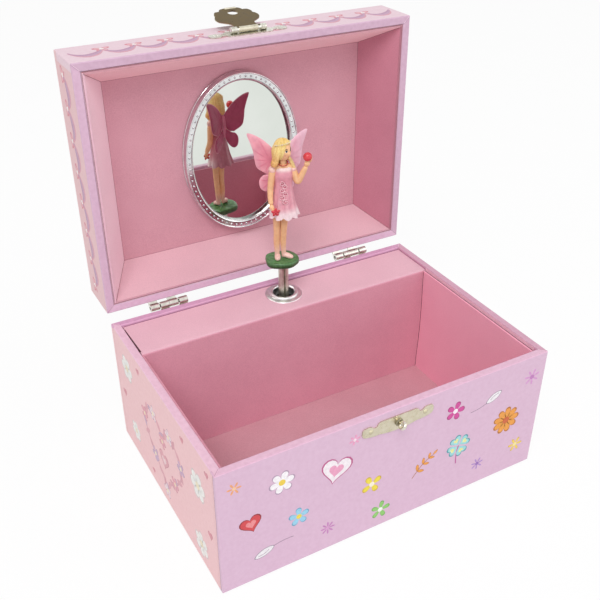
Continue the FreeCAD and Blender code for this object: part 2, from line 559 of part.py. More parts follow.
# Intermediate arbor with a pinion and a worm wheel, and the governor worm with its fan.
second_axis = V(SECOND_X, SPIN_Y, 0)
pinion_r = WHEEL_MODULE * PINION_TEETH / 2
pinion = toothed(PINION_TEETH, pinion_r - 0.55, pinion_r + 0.30, 0.25, 0.10, math.pi / PINION_TEETH)
worm_wheel_r = WORM_MODULE * WORM_TEETH / 2
worm_wheel = toothed(WORM_TEETH, worm_wheel_r - 0.55, worm_wheel_r + 0.30, 0.27, 0.11, math.pi)
second = joined([rod(0.8, second_axis + V(0, 0, 27.4), second_axis + V(0, 0, 35.2)),
                 rod(PIVOT_R, second_axis + V(0, 0, 26.2), second_axis + V(0, 0, 36.4)),
                 gear(pinion, SECOND_X, SPIN_Y, 31.8, 33.6),
                 gear(worm_wheel, SECOND_X, SPIN_Y, 28.5, 29.8)])
nodes["intermediate_wheel"] = second
WORM_PITCH = math.pi * WORM_MODULE
WORM_TURNS = 5
thread_low = WORM_PITCH * (0.5 - WORM_TURNS / 2 - 0.5)
helix = Part.makeHelix(WORM_PITCH, WORM_PITCH * WORM_TURNS, WORM_R - 0.45)
thread_root = WORM_R - 0.55
profile = [V(thread_root, 0, -0.36), V(WORM_R + 0.3, 0, -0.13), V(WORM_R + 0.3, 0, 0.13), V(thread_root, 0, 0.36)]
profile = Part.makePolygon(profile + [profile[0]])
thread = Part.Wire(helix).makePipeShell([profile], True, True)
thread.translate(V(0, 0, thread_low))
core = rod(WORM_R - 0.5, V(0, 0, -3.9), V(0, 0, 3.9))
worm = joined([thread, core])
worm.rotate(V(0, 0, 0), V(1, 0, 0), -90)
worm.translate(worm_axis + V(0, SPIN_Y, 0))
worm = joined([worm, rod(PIVOT_R, worm_axis + V(0, 30.4, 0), worm_axis + V(0, PLATE_BACK - 0.3, 0))])
nodes["governor_worm"] = worm
fan = joined([rod(1.4, worm_axis + V(0, 30.6, 0), worm_axis + V(0, 35.4, 0)),
              block(GOVERNOR_X - 4.8, GOVERNOR_X + 4.8, 31.0, 35.2, WORM_Z - 0.25, WORM_Z + 0.25)])
nodes["governor_fan"] = fan.cut(rod(PIVOT_R, worm_axis + V(0, 30, 0), worm_axis + V(0, 40, 0)))
bracket = [block(SPIN_X - 27.6, SPIN_X - 22.6, PLATE_FRONT - 1.2, PLATE_FRONT, 24.0, 40.0)]
bracket.append(block(SPIN_X - 24.0, SPIN_X - 22.6, 36.0, PLATE_FRONT, 25.0, 38.0))
bracket.append(block(SPIN_X - 24.0, SPIN_X - 15.0, 36.0, 37.1, 27.3, 31.2))
for z0, z1 in ((26.1, 27.2), (35.4, 36.6)):
    bracket.append(block(SPIN_X - 24.0, SECOND_X + 1.6, SPIN_Y - 2.2, SPIN_Y + 2.2, z0, z1))
bracket = joined(bracket)
bracket = bracket.cut(rod(PIVOT_R + RUNNING, worm_axis + V(0, 30, 0), worm_axis + V(0, 40, 0)))
bracket = bracket.cut(rod(PIVOT_R + RUNNING, second_axis + V(0, 0, 20), second_axis + V(0, 0, 40)))
nodes["governor_bracket"] = bracket.cut(small_screws)

# Post: a close-wound spring between the ferrule and the stand of the figure.
coil_low = 57.5 + WIRE_R + 0.02
coil_high = STAND_Z - WIRE_R - 0.02
coil_r = POST_R - WIRE_R
coil = Part.makeHelix(COIL_PITCH, coil_high - coil_low, coil_r)
wire = Part.Wire(Part.Circle(V(coil_r, 0, 0), V(0, 1, 0), WIRE_R).toShape())
post = Part.Wire(coil).makePipeShell([wire], True, True)
post.translate(spin_axis + V(0, 0, coil_low))
nodes["spring_post"] = post


# Figure, drawn facing the front over its own origin and then turned on the spindle.
def limb(points, radii):
    """A rounded limb through points, thicker or thinner from joint to joint."""
    shapes = []
    for i in range(len(points) - 1):
        shapes.append(taper(radii[i], radii[i + 1], points[i], points[i + 1]))
    for point, radius in zip(points, radii):
        shapes.append(Part.makeSphere(radius * 1.06, point))
    return shapes


outline = []
for i in range(24):
    angle = 2 * math.pi * i / 24
    reach = 1.0 + 0.03 * math.cos(5 * angle + 0.6)
    outline.append(V(STAND_A * reach * math.cos(angle) - 0.5, STAND_B * reach * math.sin(angle), 0))
edge = Part.BSplineCurve()
edge.interpolate(outline, PeriodicFlag=True)
leaf = Part.Face(Part.Wire(edge.toShape())).extrude(V(0, 0, STAND_DEEP))
peg_r = POST_R - 2 * WIRE_R - 0.1
stand = joined([leaf, Part.makeCylinder(peg_r, 3.5, V(0, 0, -3.0))])

skirt = [(0.0, 25.0), (5.9, 25.0), (5.5, 28.0), (4.5, 33.0), (3.8, 36.5), (3.6, 38.5), (3.7, 40.5), (3.9, 43.0),
         (3.7, 45.8), (0.0, 45.8)]
body = [ringed(skirt, V(0.7, 0, 0), V(0, 0, 1))]
body += limb([V(-2.4, 0.4, STAND_DEEP + 1.2), V(-2.6, 0.1, 15.0), V(-2.2, 0, 28.0)], [1.1, 1.4, 1.7])
body += limb([V(0.7, 0.4, STAND_DEEP + 1.2), V(0.6, 0.1, 15.0), V(1.4, 0, 28.0)], [1.1, 1.4, 1.7])
body += limb([V(-2.4, 0.6, STAND_DEEP + 1.0), V(-3.1, -2.6, STAND_DEEP + 0.8)], [1.1, 0.9])
body += limb([V(0.7, 0.6, STAND_DEEP + 1.0), V(3.9, -2.0, STAND_DEEP + 0.8)], [1.1, 0.9])
body += limb([V(-3.3, 0, 46.3), V(4.2, 0, 45.6)], [1.5, 1.5])
ARM_R = [1.35, 1.25, 1.0, 0.9]
body += limb([V(-3.7, 0, 46.2), V(-5.2, 0.2, 36.8), V(-5.5, -3.0, 30.4), V(-4.6, -3.9, 28.9)], ARM_R)
body += limb([V(4.5, 0, 45.2), V(6.6, -0.6, 40.0), V(10.4, -1.9, 47.6), V(11.0, -2.1, 49.4)], ARM_R)
body.append(Part.makeSphere(1.9, V(10.55, -2.2, 51.4)))
body.append(Part.makeSphere(1.5, V(-4.0, -4.6, 28.4)))
body.append(Part.makeCylinder(1.3, 6.0, V(0.3, 0.2, 45.0)))
body.append(Part.makeSphere(4.1, V(0.4, -0.4, 53.5)))
body.append(Part.makeSphere(4.5, V(-0.4, 0.6, 55.3)))
body.append(Part.makeCone(2.0, 3.6, 13.0, V(-0.6, 1.1, 41.0)))
body = joined(body)
body = body.cut(block(-20, 20, -20, 20, -1, STAND_DEEP))

WING_LOW = 38.5
WING_HIGH = 50.5


def wing(side):
    """One wing: a flat sheet with a long pointed upper lobe and a round lower one, swept back from the spine."""
    leading = [(0, WING_HIGH), (3.1, 53.5), (6.6, 56.1), (10.1, 58.1), (13.8, 59.0)]
    trailing = [(13.8, 59.0), (11.8, 54.3), (10.4, 50.4), (9.8, 46.5), (8.5, 43.3), (4.9, 41.3)]
    lower = [(4.9, 41.3), (6.9, 40.7), (8.4, 39.0), (8.8, 36.8), (8.1, 34.5), (6.4, 33.3), (4.4, 33.8), (2.2, 35.7),
             (0, WING_LOW)]
    edges = []
    for row in (leading, trailing, lower):
        curve = Part.BSplineCurve()
        curve.interpolate([V(side * u, 0, z) for u, z in row])
        edges.append(curve.toShape())
    edges.append(Part.LineSegment(V(0, 0, WING_LOW), V(0, 0, WING_HIGH)).toShape())
    sheet = Part.Face(Part.Wire(Part.__sortEdges__(edges))).extrude(V(0, 0.8, 0))
    sheet.rotate(V(0, 0, 0), V(0, 0, 1), side * 20)
    sheet.translate(V(side * 0.4, 4.6, 0))
    return sheet


wings = joined([wing(-1), wing(1), block(-1.2, 1.2, 2.6, 5.9, WING_LOW, WING_HIGH)])
body = body.cut(wings)
for name, shape in (("figure_stand", stand), ("figure_body", body), ("figure_wings", wings)):
    shape.rotate(V(0, 0, 0), V(0, 0, 1), FIGURE_TURN)
    shape.translate(V(SPIN_X, SPIN_Y, STAND_Z))
    nodes[name] = shape

os.makedirs("parts", exist_ok=True)
for name, shape in nodes.items():
    shape.exportStep("parts/" + name + ".step")
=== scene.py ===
import bpy
import numpy as np
from mathutils import Matrix, Vector


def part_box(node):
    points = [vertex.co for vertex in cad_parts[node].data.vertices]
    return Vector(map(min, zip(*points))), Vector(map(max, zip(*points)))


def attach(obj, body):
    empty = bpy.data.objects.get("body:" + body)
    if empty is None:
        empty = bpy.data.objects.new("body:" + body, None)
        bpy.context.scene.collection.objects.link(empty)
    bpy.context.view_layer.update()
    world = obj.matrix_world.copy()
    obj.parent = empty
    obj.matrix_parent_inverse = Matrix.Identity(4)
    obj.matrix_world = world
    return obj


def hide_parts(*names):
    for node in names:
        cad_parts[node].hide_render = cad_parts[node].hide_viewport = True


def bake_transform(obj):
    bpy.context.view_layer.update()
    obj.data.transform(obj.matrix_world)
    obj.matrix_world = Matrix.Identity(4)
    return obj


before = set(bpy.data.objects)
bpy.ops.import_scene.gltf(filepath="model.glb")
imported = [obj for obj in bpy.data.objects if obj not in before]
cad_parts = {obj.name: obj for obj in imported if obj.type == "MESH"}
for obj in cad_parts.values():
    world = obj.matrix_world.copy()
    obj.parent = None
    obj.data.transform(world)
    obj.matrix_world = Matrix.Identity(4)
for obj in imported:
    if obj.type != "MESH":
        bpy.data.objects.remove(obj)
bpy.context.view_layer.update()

# Carcass: front, back and side boards glued at the corners and covered in coated printed paper,
# lilac-pink on the front and peach-pink on the other sides. The paper is folded over the rims and
# down inside them as a band of pink, set paler or darker on each wall as painted light and shade.
NOISE_SPAN = (0.3, 0.7)
SLANT = 0.5 ** 0.5
LILAC, PEACH = ("d5b3ca", "dabad0"), ("edc1c4", "f2c9cc")


def chip(code):
    """Linear colour of a paint chip written as six sRGB digits, by the sRGB curve."""
    value = np.array([int(code[i:i + 2], 16) for i in (0, 2, 4)]) / 255.0
    linear = np.where(value <= 0.04045, value / 12.92, ((value + 0.055) / 1.055) ** 2.4)
    return np.append(linear, 1.0)


def set_inputs(tree, node, inputs):
    """Gives each named input of a node its plain value, or joins it to a socket."""
    for key, value in inputs.items():
        if isinstance(value, bpy.types.NodeSocket):
            tree.links.new(value, node.inputs[key])
        else:
            node.inputs[key].default_value = value


def wire(tree, kind, inputs, **settings):
    """The outputs of a new shader node, with its settings made and its inputs filled."""
    node = tree.nodes.new("ShaderNode" + kind)
    for name, value in settings.items():
        setattr(node, name, value)
    set_inputs(tree, node, inputs)
    return node.outputs


def coat(material, inputs):
    """Fills inputs of a material's own shader."""
    set_inputs(material.node_tree, material.node_tree.nodes["Principled BSDF"], inputs)


def finish(name, roughness, metallic=0.0):
    """A new material with an even roughness and metalness, ready for its colours."""
    material = bpy.data.materials.new(name)
    material.use_nodes = True
    coat(material, {"Roughness": roughness, "Metallic": metallic})
    return material


def grain_of(material, scale, stretch=(1.0, 1.0, 1.0), detail=5.0):
    """A noise in the piece's own place, at the given cells to the metre, stretched along its axes."""
    tree = material.node_tree
    place = wire(tree, "TexCoord", {})["Object"]
    laid = wire(tree, "Mapping", {"Vector": place, "Scale": stretch})["Vector"]
    return wire(tree, "TexNoise", {"Vector": laid, "Scale": scale, "Detail": detail})["Fac"]


def tones(material, grain, dark, light, span=NOISE_SPAN):
    """Colour that runs from dark to light as the grain runs over a span."""
    ramp = material.node_tree.nodes.new("ShaderNodeValToRGB")
    for stop, at, code in zip(ramp.color_ramp.elements, span, (dark, light)):
        stop.position, stop.color = at, chip(code)
    set_inputs(material.node_tree, ramp, {"Fac": grain})
    return ramp.outputs["Color"]


def raise_by(material, grain, deep, strength=1.0):
    """Lifts the surface by the grain times a depth in metres, as a bump."""
    bump = wire(material.node_tree, "Bump", {"Distance": deep, "Strength": strength, "Height": grain})
    coat(material, {"Normal": bump["Normal"]})


def split_at(material, below, above, along, line):
    """Two colours that change where the place, measured along a direction, passes a line."""
    tree, blur = material.node_tree, 0.00008
    place = wire(tree, "TexCoord", {})["Object"]
    measure = wire(tree, "VectorMath", {0: place, 1: along}, operation="DOT_PRODUCT")["Value"]
    span = {"Value": measure, "From Min": line - blur, "From Max": line + blur}
    step = wire(tree, "MapRange", span)["Result"]
    return wire(tree, "Mix", {"Factor": step, 6: below, 7: above}, data_type="RGBA")[2]


def printed_paper(name, face, rim, along, line):
    """Coated paper with faint fibres and a face colour, whose folded band past the rim line has its own."""
    material = finish(name, 0.5)
    fibre = grain_of(material, 620.0)
    colours = [tones(material, fibre, *pair) for pair in (face, rim)]
    coat(material, {"Specular IOR Level": 0.35, "Base Color": split_at(material, *colours, along, line)})
    raise_by(material, grain_of(material, 2600.0), 0.00003, 0.5)
    return material


def dress(material, *names):
    """Puts a finish on CAD nodes by their material slots."""
    for name in names:
        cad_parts[name].material_slots[0].material = material


# The rim band pairs below are one pink paper, toned per wall as painted light and shade; the right one is
# painted darkest.
for side, face, rim, along, line in (
        ("front", LILAC, ("dcb1c9", "e2b9cf"), (0, SLANT, SLANT), 0.00625),
        ("back", PEACH, ("d8a5c5", "deadcb"), (0, -SLANT, SLANT), 0.00625),
        ("left", PEACH, ("e7bfd3", "edc7d9"), (SLANT, 0, SLANT), -0.0155),
        ("right", PEACH, ("c992ac", "cf99b2"), (-SLANT, 0, SLANT), -0.0155)):
    dress(printed_paper(side + "_paper", face, rim, along, line * SLANT), side + "_panel")

# Bottom board of thin fibreboard let in between the walls, with a sheet of plain pink paper
# glued over the whole underside.


def gloss_by(material, grain, low, high):
    """Lets the roughness wander with the grain between low and high."""
    span = {"From Min": NOISE_SPAN[0], "From Max": NOISE_SPAN[1], "To Min": low, "To Max": high}
    coat(material, {"Roughness": wire(material.node_tree, "MapRange", {"Value": grain, **span})["Result"]})


def grained(name, roughness, scale, dark, light, deep=0.0, gloss=None, metallic=0.0, stretch=(1.0, 1.0, 1.0)):
    """A finish coloured dark to light by a grain that may also lift it by a depth and move its roughness."""
    material = finish(name, roughness, metallic)
    grain = grain_of(material, scale, stretch)
    coat(material, {"Base Color": tones(material, grain, dark, light)})
    if deep:
        raise_by(material, grain, deep)
    if gloss:
        gloss_by(material, grain, *gloss)
    return material


dress(grained("fibreboard", 0.8, 900.0, "a98662", "c09e78", 0.00006, stretch=(1.0, 0.25, 1.0)), "base_board")
dress(grained("base_paper", 0.7, 500.0, "dfb3c6", "e8c0d0", 0.00004), "base_sheet")

# Print on the papered walls: scattered flowers, sprigs, buds, hearts and a clover in bright inks,
# drawn with fine outlines. Each motif is a wafer of ink a few hundredths of a millimetre proud.
HALF_WIDE, HALF_DEEP = 76.0, 54.25
SUNK, EDGE_INK, STEM_INK, FILL_INK, TOP_INK = -0.02, 0.025, 0.03, 0.04, 0.055


def piece(name, body, shapes, material, sharp=40.0, stands_for=None):
    """One mesh from several closed grids, each a pair of points and tint.
    The points are rows of rings in millimetres; each ring closes on itself, and ring cells are cut in two.
    Points that fall together, as at a pole, become one, and a shell of negative volume is turned over."""
    corners, cells, colours, start = [], [], [], 0
    for points, tint in shapes:
        rows, across = points.shape[:2]
        here = np.arange(rows * across).reshape(rows, across)
        beside = np.roll(here, -1, axis=1)
        quad = np.stack([here[:-1], beside[:-1], beside[1:], here[1:]], -1).reshape(-1, 4)
        flat = points.reshape(-1, 3)
        first, same = np.unique(np.round(flat, 5), axis=0, return_index=True, return_inverse=True)[1:]
        tri = same.reshape(-1)[np.concatenate([quad[:, [0, 1, 2]], quad[:, [0, 2, 3]]])]
        a, b, c = tri.T
        tri = tri[(a != b) & (b != c) & (c != a)]
        flat = flat[first]
        a, b, c = (flat[tri[:, i]] - flat.mean(0) for i in range(3))
        if np.einsum("ij,ij->", a, np.cross(b, c)) < 0:
            tri = tri[:, ::-1]
        corners.append(flat)
        cells.append(tri + start)
        colours.append(np.broadcast_to(tint, (rows, across, 4)).reshape(-1, 4)[first])
        start += len(flat)
    mesh = bpy.data.meshes.new(name)
    mesh.from_pydata((np.concatenate(corners) * 0.001).tolist(), [], np.concatenate(cells).tolist())
    mesh.polygons.foreach_set("use_smooth", np.ones(len(mesh.polygons), bool))
    mesh.set_sharp_from_angle(angle=np.radians(sharp))
    own = mesh.color_attributes.new("tint", "FLOAT_COLOR", "POINT")
    own.data.foreach_set("color", np.concatenate(colours).astype(np.float32).ravel())
    mesh.materials.append(material)
    made = bpy.data.objects.new(name, mesh)
    bpy.context.scene.collection.objects.link(made)
    if body:
        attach(made, body)
    if stands_for:
        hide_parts(stands_for)
    return made


def tinted(name, roughness, scale, low, metallic=0.0, high="ffffff"):
    """A finish whose colour is the piece's own tint, times a faint mottle of the given cells to the metre."""
    material = finish(name, roughness, metallic)
    own = wire(material.node_tree, "Attribute", {}, attribute_name="tint")["Color"]
    mottle = tones(material, grain_of(material, scale), low, high)
    kind = {"data_type": "RGBA", "blend_type": "MULTIPLY"}
    both = wire(material.node_tree, "Mix", {"Factor": 1.0, 6: own, 7: mottle}, **kind)[2]
    coat(material, {"Base Color": both})
    return material


def face_of(origin, right, up):
    """A flat face of the box: its origin, its right and up as seen from outside, and the way out."""
    right, up = np.array(right, float), np.array(up, float)
    return {"from": np.array(origin, float), "right": right, "up": up, "out": np.cross(right, up)}


def on_face(face, spots, height):
    """Points of a flat drawing laid on a face, at a height over it."""
    return face["from"] + spots[..., :1] * face["right"] + spots[..., 1:] * face["up"] + height * face["out"]


def wafer(face, outline, height, tint):
    """A closed wafer of ink and its colour: an outline and its middle at the height, and the same sunk."""
    middle = np.broadcast_to(outline.mean(0), outline.shape)
    rows = ((middle, height), (outline, height), (outline, SUNK), (middle, SUNK))
    return np.stack([on_face(face, spots, high) for spots, high in rows]), chip(tint)


def stroke(face, path, half, height, tint):
    """A closed band of ink and its colour: half a width to each side of a path, square to its run."""
    run = np.gradient(path, axis=0)
    side = np.stack([-run[:, 1], run[:, 0]], 1) / np.linalg.norm(run, axis=1)[:, None]
    side = side * np.broadcast_to(half, len(path))[:, None]
    edges = ((path + side, height), (path - side, height), (path - side, SUNK), (path + side, SUNK))
    ring = np.stack([on_face(face, spots, high) for spots, high in edges], 1)
    ends = ring[[0, -1]].mean(1, keepdims=True).repeat(4, 1)
    return np.concatenate([ends[:1], ring, ends[1:]]), chip(tint)


def path_of(a, b):
    """A flat path from its two coordinates, either of which may be one number."""
    return np.stack(np.broadcast_arrays(np.asarray(a, float), b), -1)


def placed(spots, at, turn=0.0, size=1.0):
    """A drawing scaled, turned by degrees and moved."""
    c, s = np.cos(np.radians(turn)), np.sin(np.radians(turn))
    return (spots * size) @ np.array([[c, s], [-s, c]]) + np.array(at)


def turns(count):
    """Angles evenly round a full turn."""
    return np.linspace(0, 2 * np.pi, count, endpoint=False)


def circle(angles):
    """Points of the unit circle at the angles."""
    return np.stack([np.cos(angles), np.sin(angles)], -1)


def heart_line(t):
    """The heart curve: the sine cubed across and a sum of four cosines up, in seventeenths."""
    up = 13 * np.cos(t) - 5 * np.cos(2 * t) - 2 * np.cos(3 * t) - np.cos(4 * t)
    return path_of(16 * np.sin(t) ** 3, up) / 17.0


DISC = circle(turns(28))
over, up = DISC.T
PETAL = path_of(0.56 + 0.44 * over, 0.27 * up * (1 + 0.35 * over))
LEAF = path_of(over, 0.42 * up * np.abs(up) ** 0.35)
HEART = heart_line(turns(28)) + (0, 2 / 17)


def flower(face, at, size, petals, petal, eye, turn=0.0, edge=None, slim=1.0):
    """Petals set round an eye; with an edge colour each petal has a slightly larger wafer under it."""
    shapes = []
    for k in range(petals):
        one = placed(PETAL * (1.0, slim), (0, 0), 360.0 * k / petals)
        if edge:
            shapes.append(wafer(face, placed(one * 1.07, at, turn, size), EDGE_INK, edge))
        shapes.append(wafer(face, placed(one, at, turn, size * 0.96), FILL_INK, petal))
    return shapes + [wafer(face, placed(DISC * 0.27, at, 0, size), TOP_INK, eye)]


def bud(face, at, size, fill, edge, turn):
    """A closed bud: a leaf shape with a darker edge, a cleft line and a bent stem."""
    t = np.linspace(0, 1, 14)
    stem = path_of(-0.8 - 2.2 * t, 0.55 * t ** 2)
    cleft = path_of(-0.5 + 1.2 * t, 0.12 * np.sin(np.pi * t))
    return [wafer(face, placed(LEAF * 1.1, at, turn, size), EDGE_INK, edge),
            wafer(face, placed(LEAF * (1.0, 0.94), at, turn, size), FILL_INK, fill),
            stroke(face, placed(cleft, at, turn, size), 0.12, TOP_INK, edge),
            stroke(face, placed(stem, at, turn, size), 0.16, STEM_INK, "a58aa0")]


def sprig(face, at, size, leaf, edge, turn):
    """A curved stem with leaves in pairs, smaller to its tip."""
    t = np.linspace(0, 1, 20)
    spine = path_of(3.0 * t, 0.5 * np.sin(2.2 * t))
    shapes = [stroke(face, placed(spine, at, turn, size), 0.16, STEM_INK, edge)]
    for share, lean in ((0.28, 58), (0.28, -52), (0.56, 52), (0.56, -48), (0.82, 46), (0.82, -42), (1.0, 8)):
        foot = (3.0 * share, 0.5 * np.sin(2.2 * share))
        for part, high, tint in ((1.0, 0.028, edge), (0.86, 0.042, leaf)):
            one = placed(LEAF * part + (1.0, 0.0), foot, lean, 0.46 - 0.14 * share)
            shapes.append(wafer(face, placed(one, at, turn, size), high, tint))
    return shapes


def heart(face, at, size, fill, edge, turn=0.0, light=None):
    """A heart with a darker edge and, if wanted, a small heart of light in it."""
    shapes = [wafer(face, placed(HEART * 1.08, at, turn, size), EDGE_INK, edge),
              wafer(face, placed(HEART, at, turn, size * 0.97), FILL_INK, fill)]
    if light:
        shapes.append(wafer(face, placed(HEART, at, turn, size * 0.5), TOP_INK, light))
    return shapes


def clover(face, at, size, fill, edge, light, turn):
    """Four hearts set point to point, with a bent stalk."""
    t = np.linspace(0, 1, 12)
    stalk = path_of(0.15 * t + 0.35 * t ** 2, -1.75 * t)
    shapes = [stroke(face, placed(stalk, at, turn, size), 0.3, STEM_INK, "c05a9c")]
    for k in range(4):
        lean = 45.0 + 90.0 * k
        one = placed(HEART + (0, 1.0), (0, 0), lean) * 0.56
        spot = placed(HEART * 0.45 + (0, 1.05), (0, 0), lean) * 0.56
        inks = ((one * 1.06, 0.028, edge), (one * 0.95, 0.042, fill), (spot, 0.056, light))
        for outline, high, tint in inks:
            shapes.append(wafer(face, placed(outline, at, turn, size), high, tint))
    return shapes


front = face_of((0, -HALF_DEEP, 0), (1, 0, 0), (0, 0, 1))
front_print = []
for motif, *how in (
        (heart, (-63, 31), 4.6, "d8434a", "8f2b35", 12, "ef8f92"),
        (flower, (-50, 46), 5.2, 6, "fbf7fa", "f3d24a", 10, "b79bb4"),
        (bud, (-58, 13.5), 4.2, "f4f1f4", "9b8b9c", 200),
        (flower, (-43, 25), 4.3, 5, "9ad4ee", "f4dc4e", 20, "6aa6c6"),
        (flower, (-30, 12), 3.4, 8, "c983bf", "dba3cf", 0, None, 0.42),
        (heart, (-27, 41), 7.0, "f7eef3", "c05a8e", -14, "f0a6c6"),
        (flower, (-10, 26), 4.6, 4, "f2dd3f", "fbf3dc", 30, "d1ad2a"),
        (flower, (-5, 9.5), 4.4, 5, "8fcf6c", "f6faf0", 8, "6bab4d", 0.85),
        (sprig, (10, 19.5), 4.4, "f0a03c", "b0682a", 34),
        (clover, (33, 27.5), 5.4, "9fdde0", "4f9aa6", "f0eea0", -18),
        (flower, (29, 47.5), 4.4, 5, "d5489c", "fdf2f8", 0, "a83079"),
        (flower, (45, 12), 3.4, 7, "b48ccc", "9a6fb8", 12, None, 0.42),
        (bud, (49, 47), 4.0, "f6f3f6", "9b8b9c", 28),
        (flower, (58, 31), 6.6, 9, "f0a03c", "d0622a", 5, "b8702a", 0.8),
        (flower, (66, 14), 3.6, 6, "f3d458", "f8e9a4", 0, "d9b23c", 0.6),
        (flower, (69, 50), 4.2, 7, "d99ad0", "c47fbe", 18, None, 0.42),
        (flower, (-69, 52), 3.0, 6, "f0a878", "f5c9a4", 0, None, 0.5),
        (flower, (-19, 53), 2.6, 6, "eda0c4", "fbe4ee", 15, None, 0.6)):
    front_print += motif(front, *how)
ink = tinted("printing_ink", 0.42, 900.0, "ececec")
piece("front_print", "box", front_print, ink)
FULL_TURN = np.linspace(0, 2 * np.pi, 90)
GARLAND = heart_line(FULL_TURN) * 21.0 + (0, 29)


def garland_side(face, half):
    """The print of a side wall: a heart-shaped garland of leaves and blossoms, white flowers about it."""
    shapes = [stroke(face, GARLAND, 0.6, 0.018, "dc9cab")]
    for k in range(30):
        leaf = placed(LEAF, GARLAND[3 * k], 40 + 77 * k, 3.0)
        shapes.append(wafer(face, leaf, 0.026 + 0.0004 * k, ("e3a0ad", "c7a1bd", "da96a4")[k % 3]))
    for k, step in enumerate((0, 12, 21, 31, 44, 58, 68, 77)):
        petal, edge = (("e59aaa", "cb7187"), ("f3dfe4", "c79bb0"), ("cba6c6", "a984a6"))[k % 3]
        shapes += flower(face, GARLAND[step], 3.6, 5, petal, "f7e7c0", 25 * k, edge)
    shapes += heart(face, (0, 24.5), 5.0, "e4a0ac", "cd8292", 0, "f3cfd3")
    for a, b, size, turn in ((-0.70, 47, 6.2, 0), (-0.66, 14, 5.0, 20),
                             (0.68, 42, 6.6, 10), (0.66, 10, 6.0, 35)):
        shapes += flower(face, (a * half, b), size, 6, "f6f5f1", "f3e6c4", turn, "dfc9c8", 1.2)
    for a, b, size in ((-0.84, 29, 2.2), (0.85, 24, 2.2), (0.44, 54, 1.8), (-0.42, 55, 1.8),
                       (-0.3, 6, 1.6), (0.86, 55, 1.8)):
        shapes += heart(face, (a * half, b), size, "dd8c9a", "cd7888", 15)
    return shapes


left = face_of((-HALF_WIDE, 0, 0), (0, -1, 0), (0, 0, 1))
right = face_of((HALF_WIDE, 0, 0), (0, 1, 0), (0, 0, 1))
piece("left_print", "box", garland_side(left, HALF_DEEP), ink)
piece("right_print", "box", garland_side(right, HALF_DEEP), ink)
back = face_of((0, HALF_DEEP, 0), (-1, 0, 0), (0, 0, 1))
back_print = []
SCATTER = ((-62, 14), (-34, 9), (-44, 33), (-68, 40), (34, 10), (62, 15), (44, 33), (68, 41),
           (18, 38), (-18, 38), (0, 52))
SCATTER_INKS = (("e88ea6", "c9647f"), ("f6f1f4", "c79bb5"), ("c8a0d2", "a57cb2"), ("f2dd6f", "cfae3e"))
for k, at in enumerate(SCATTER):
    petal, edge = SCATTER_INKS[k % 4]
    back_print += flower(back, at, 4.2 + 0.4 * (k % 3), 5 + k % 2, petal, "f8efc4", 19 * k, edge)
piece("back_print", "box", back_print, ink)

# Folds of the paper: a strip lapped round each upright corner, with its cut edge showing as a fine
# line, and the band turned over the rims, its strip on each wall in its own tone of painted light and
# shade, with a painted highlight and a line of painted shade across the mitred fold at each corner.
RIM_TOP, PROUD = 60.8, 0.02
CORNERS = np.array([(1, 1), (-1, 1), (-1, -1), (1, -1)])
OUTER_CORNER = np.array([HALF_WIDE, HALF_DEEP])


def upright(face, at, half, tint, height, wave=0.0):
    """A strip of paper up a wall, with a little wave in its line."""
    b = np.linspace(0.9, RIM_TOP - 0.9, 40)
    a = at + wave * np.sin(0.21 * b) + 0.6 * wave * np.sin(0.53 * b + 1.0)
    return stroke(face, path_of(a, b), half, height, tint)


def rim_strip(side, low, high):
    """Paper laid flat along one rim: a thin oblong section from mitred corner to corner, with shut ends."""
    inset = np.array([0.45, 0.45, 3.05, 3.05])[:, None]
    ends = [CORNERS[(side + k) % 4] * (OUTER_CORNER - inset) for k in (0, 1)]
    strip = np.concatenate([ends, np.broadcast_to(np.array([low, high, high, low])[:, None], (2, 4, 1))], -1)
    caps = np.broadcast_to(strip.mean(1, keepdims=True), strip.shape)
    return np.stack([caps[0], strip[0], strip[1], caps[1]])


def mitres(face, light, dark):
    """A painted highlight and a fine line of painted shade across the mitred fold at each corner of a rim."""
    t = np.linspace(0, 1, 6)[:, None]
    shapes = []
    for corner in CORNERS:
        mitre_line = corner * (OUTER_CORNER - 0.5) - t * corner * 2.5
        shapes.append(stroke(face, mitre_line, 0.22, 0.03, light))
        shapes.append(stroke(face, mitre_line + (0.3 * corner[0], 0), 0.08, 0.04, dark))
    return shapes


folds_and_painted_shade = [upright(face, end * 51.6, 0.98, "f0c5c8", 0.02) for face in (left, right) for end in (-1, 1)]
folds_and_painted_shade += [upright(face, at, 0.10, "a98092", 0.035, 0.12) for face, at in ((left, 52.55), (right, -52.55))]
# Rim strips per wall: one paper, toned per wall as painted light and shade; the back and right strips are
# painted darker.
for side, tint in enumerate(("d8a5c5", "ecc5d7", "e7bfd4", "d6a6bb")):
    folds_and_painted_shade.append((rim_strip(side, RIM_TOP - 0.03, RIM_TOP + PROUD), chip(tint)))
folds_and_painted_shade += mitres(face_of((0, 0, RIM_TOP + PROUD), (1, 0, 0), (0, 1, 0)), "ecc6d8", "c391ac")
fold_paper = tinted("fold_paper", 0.5, 620.0, "f4f0f2")
raise_by(fold_paper, grain_of(fold_paper, 2600.0), 0.00003, 0.5)
piece("paper_folds_and_painted_shade", "box", folds_and_painted_shade, fold_paper)

# Linings of the box: cards and a floor pad faced with short dusty-pink flock, dropped in inside the
# walls, and the folded cover that hides the movement, faced with the same flock; each card and the
# cover's top have their own tone of painted light and shade. Lines of painted shade run along the gaps
# at the rims and down a corner, and a band of rim paper, made paler as painted light, covers the wall
# above the right card.
SHELF = 59.9


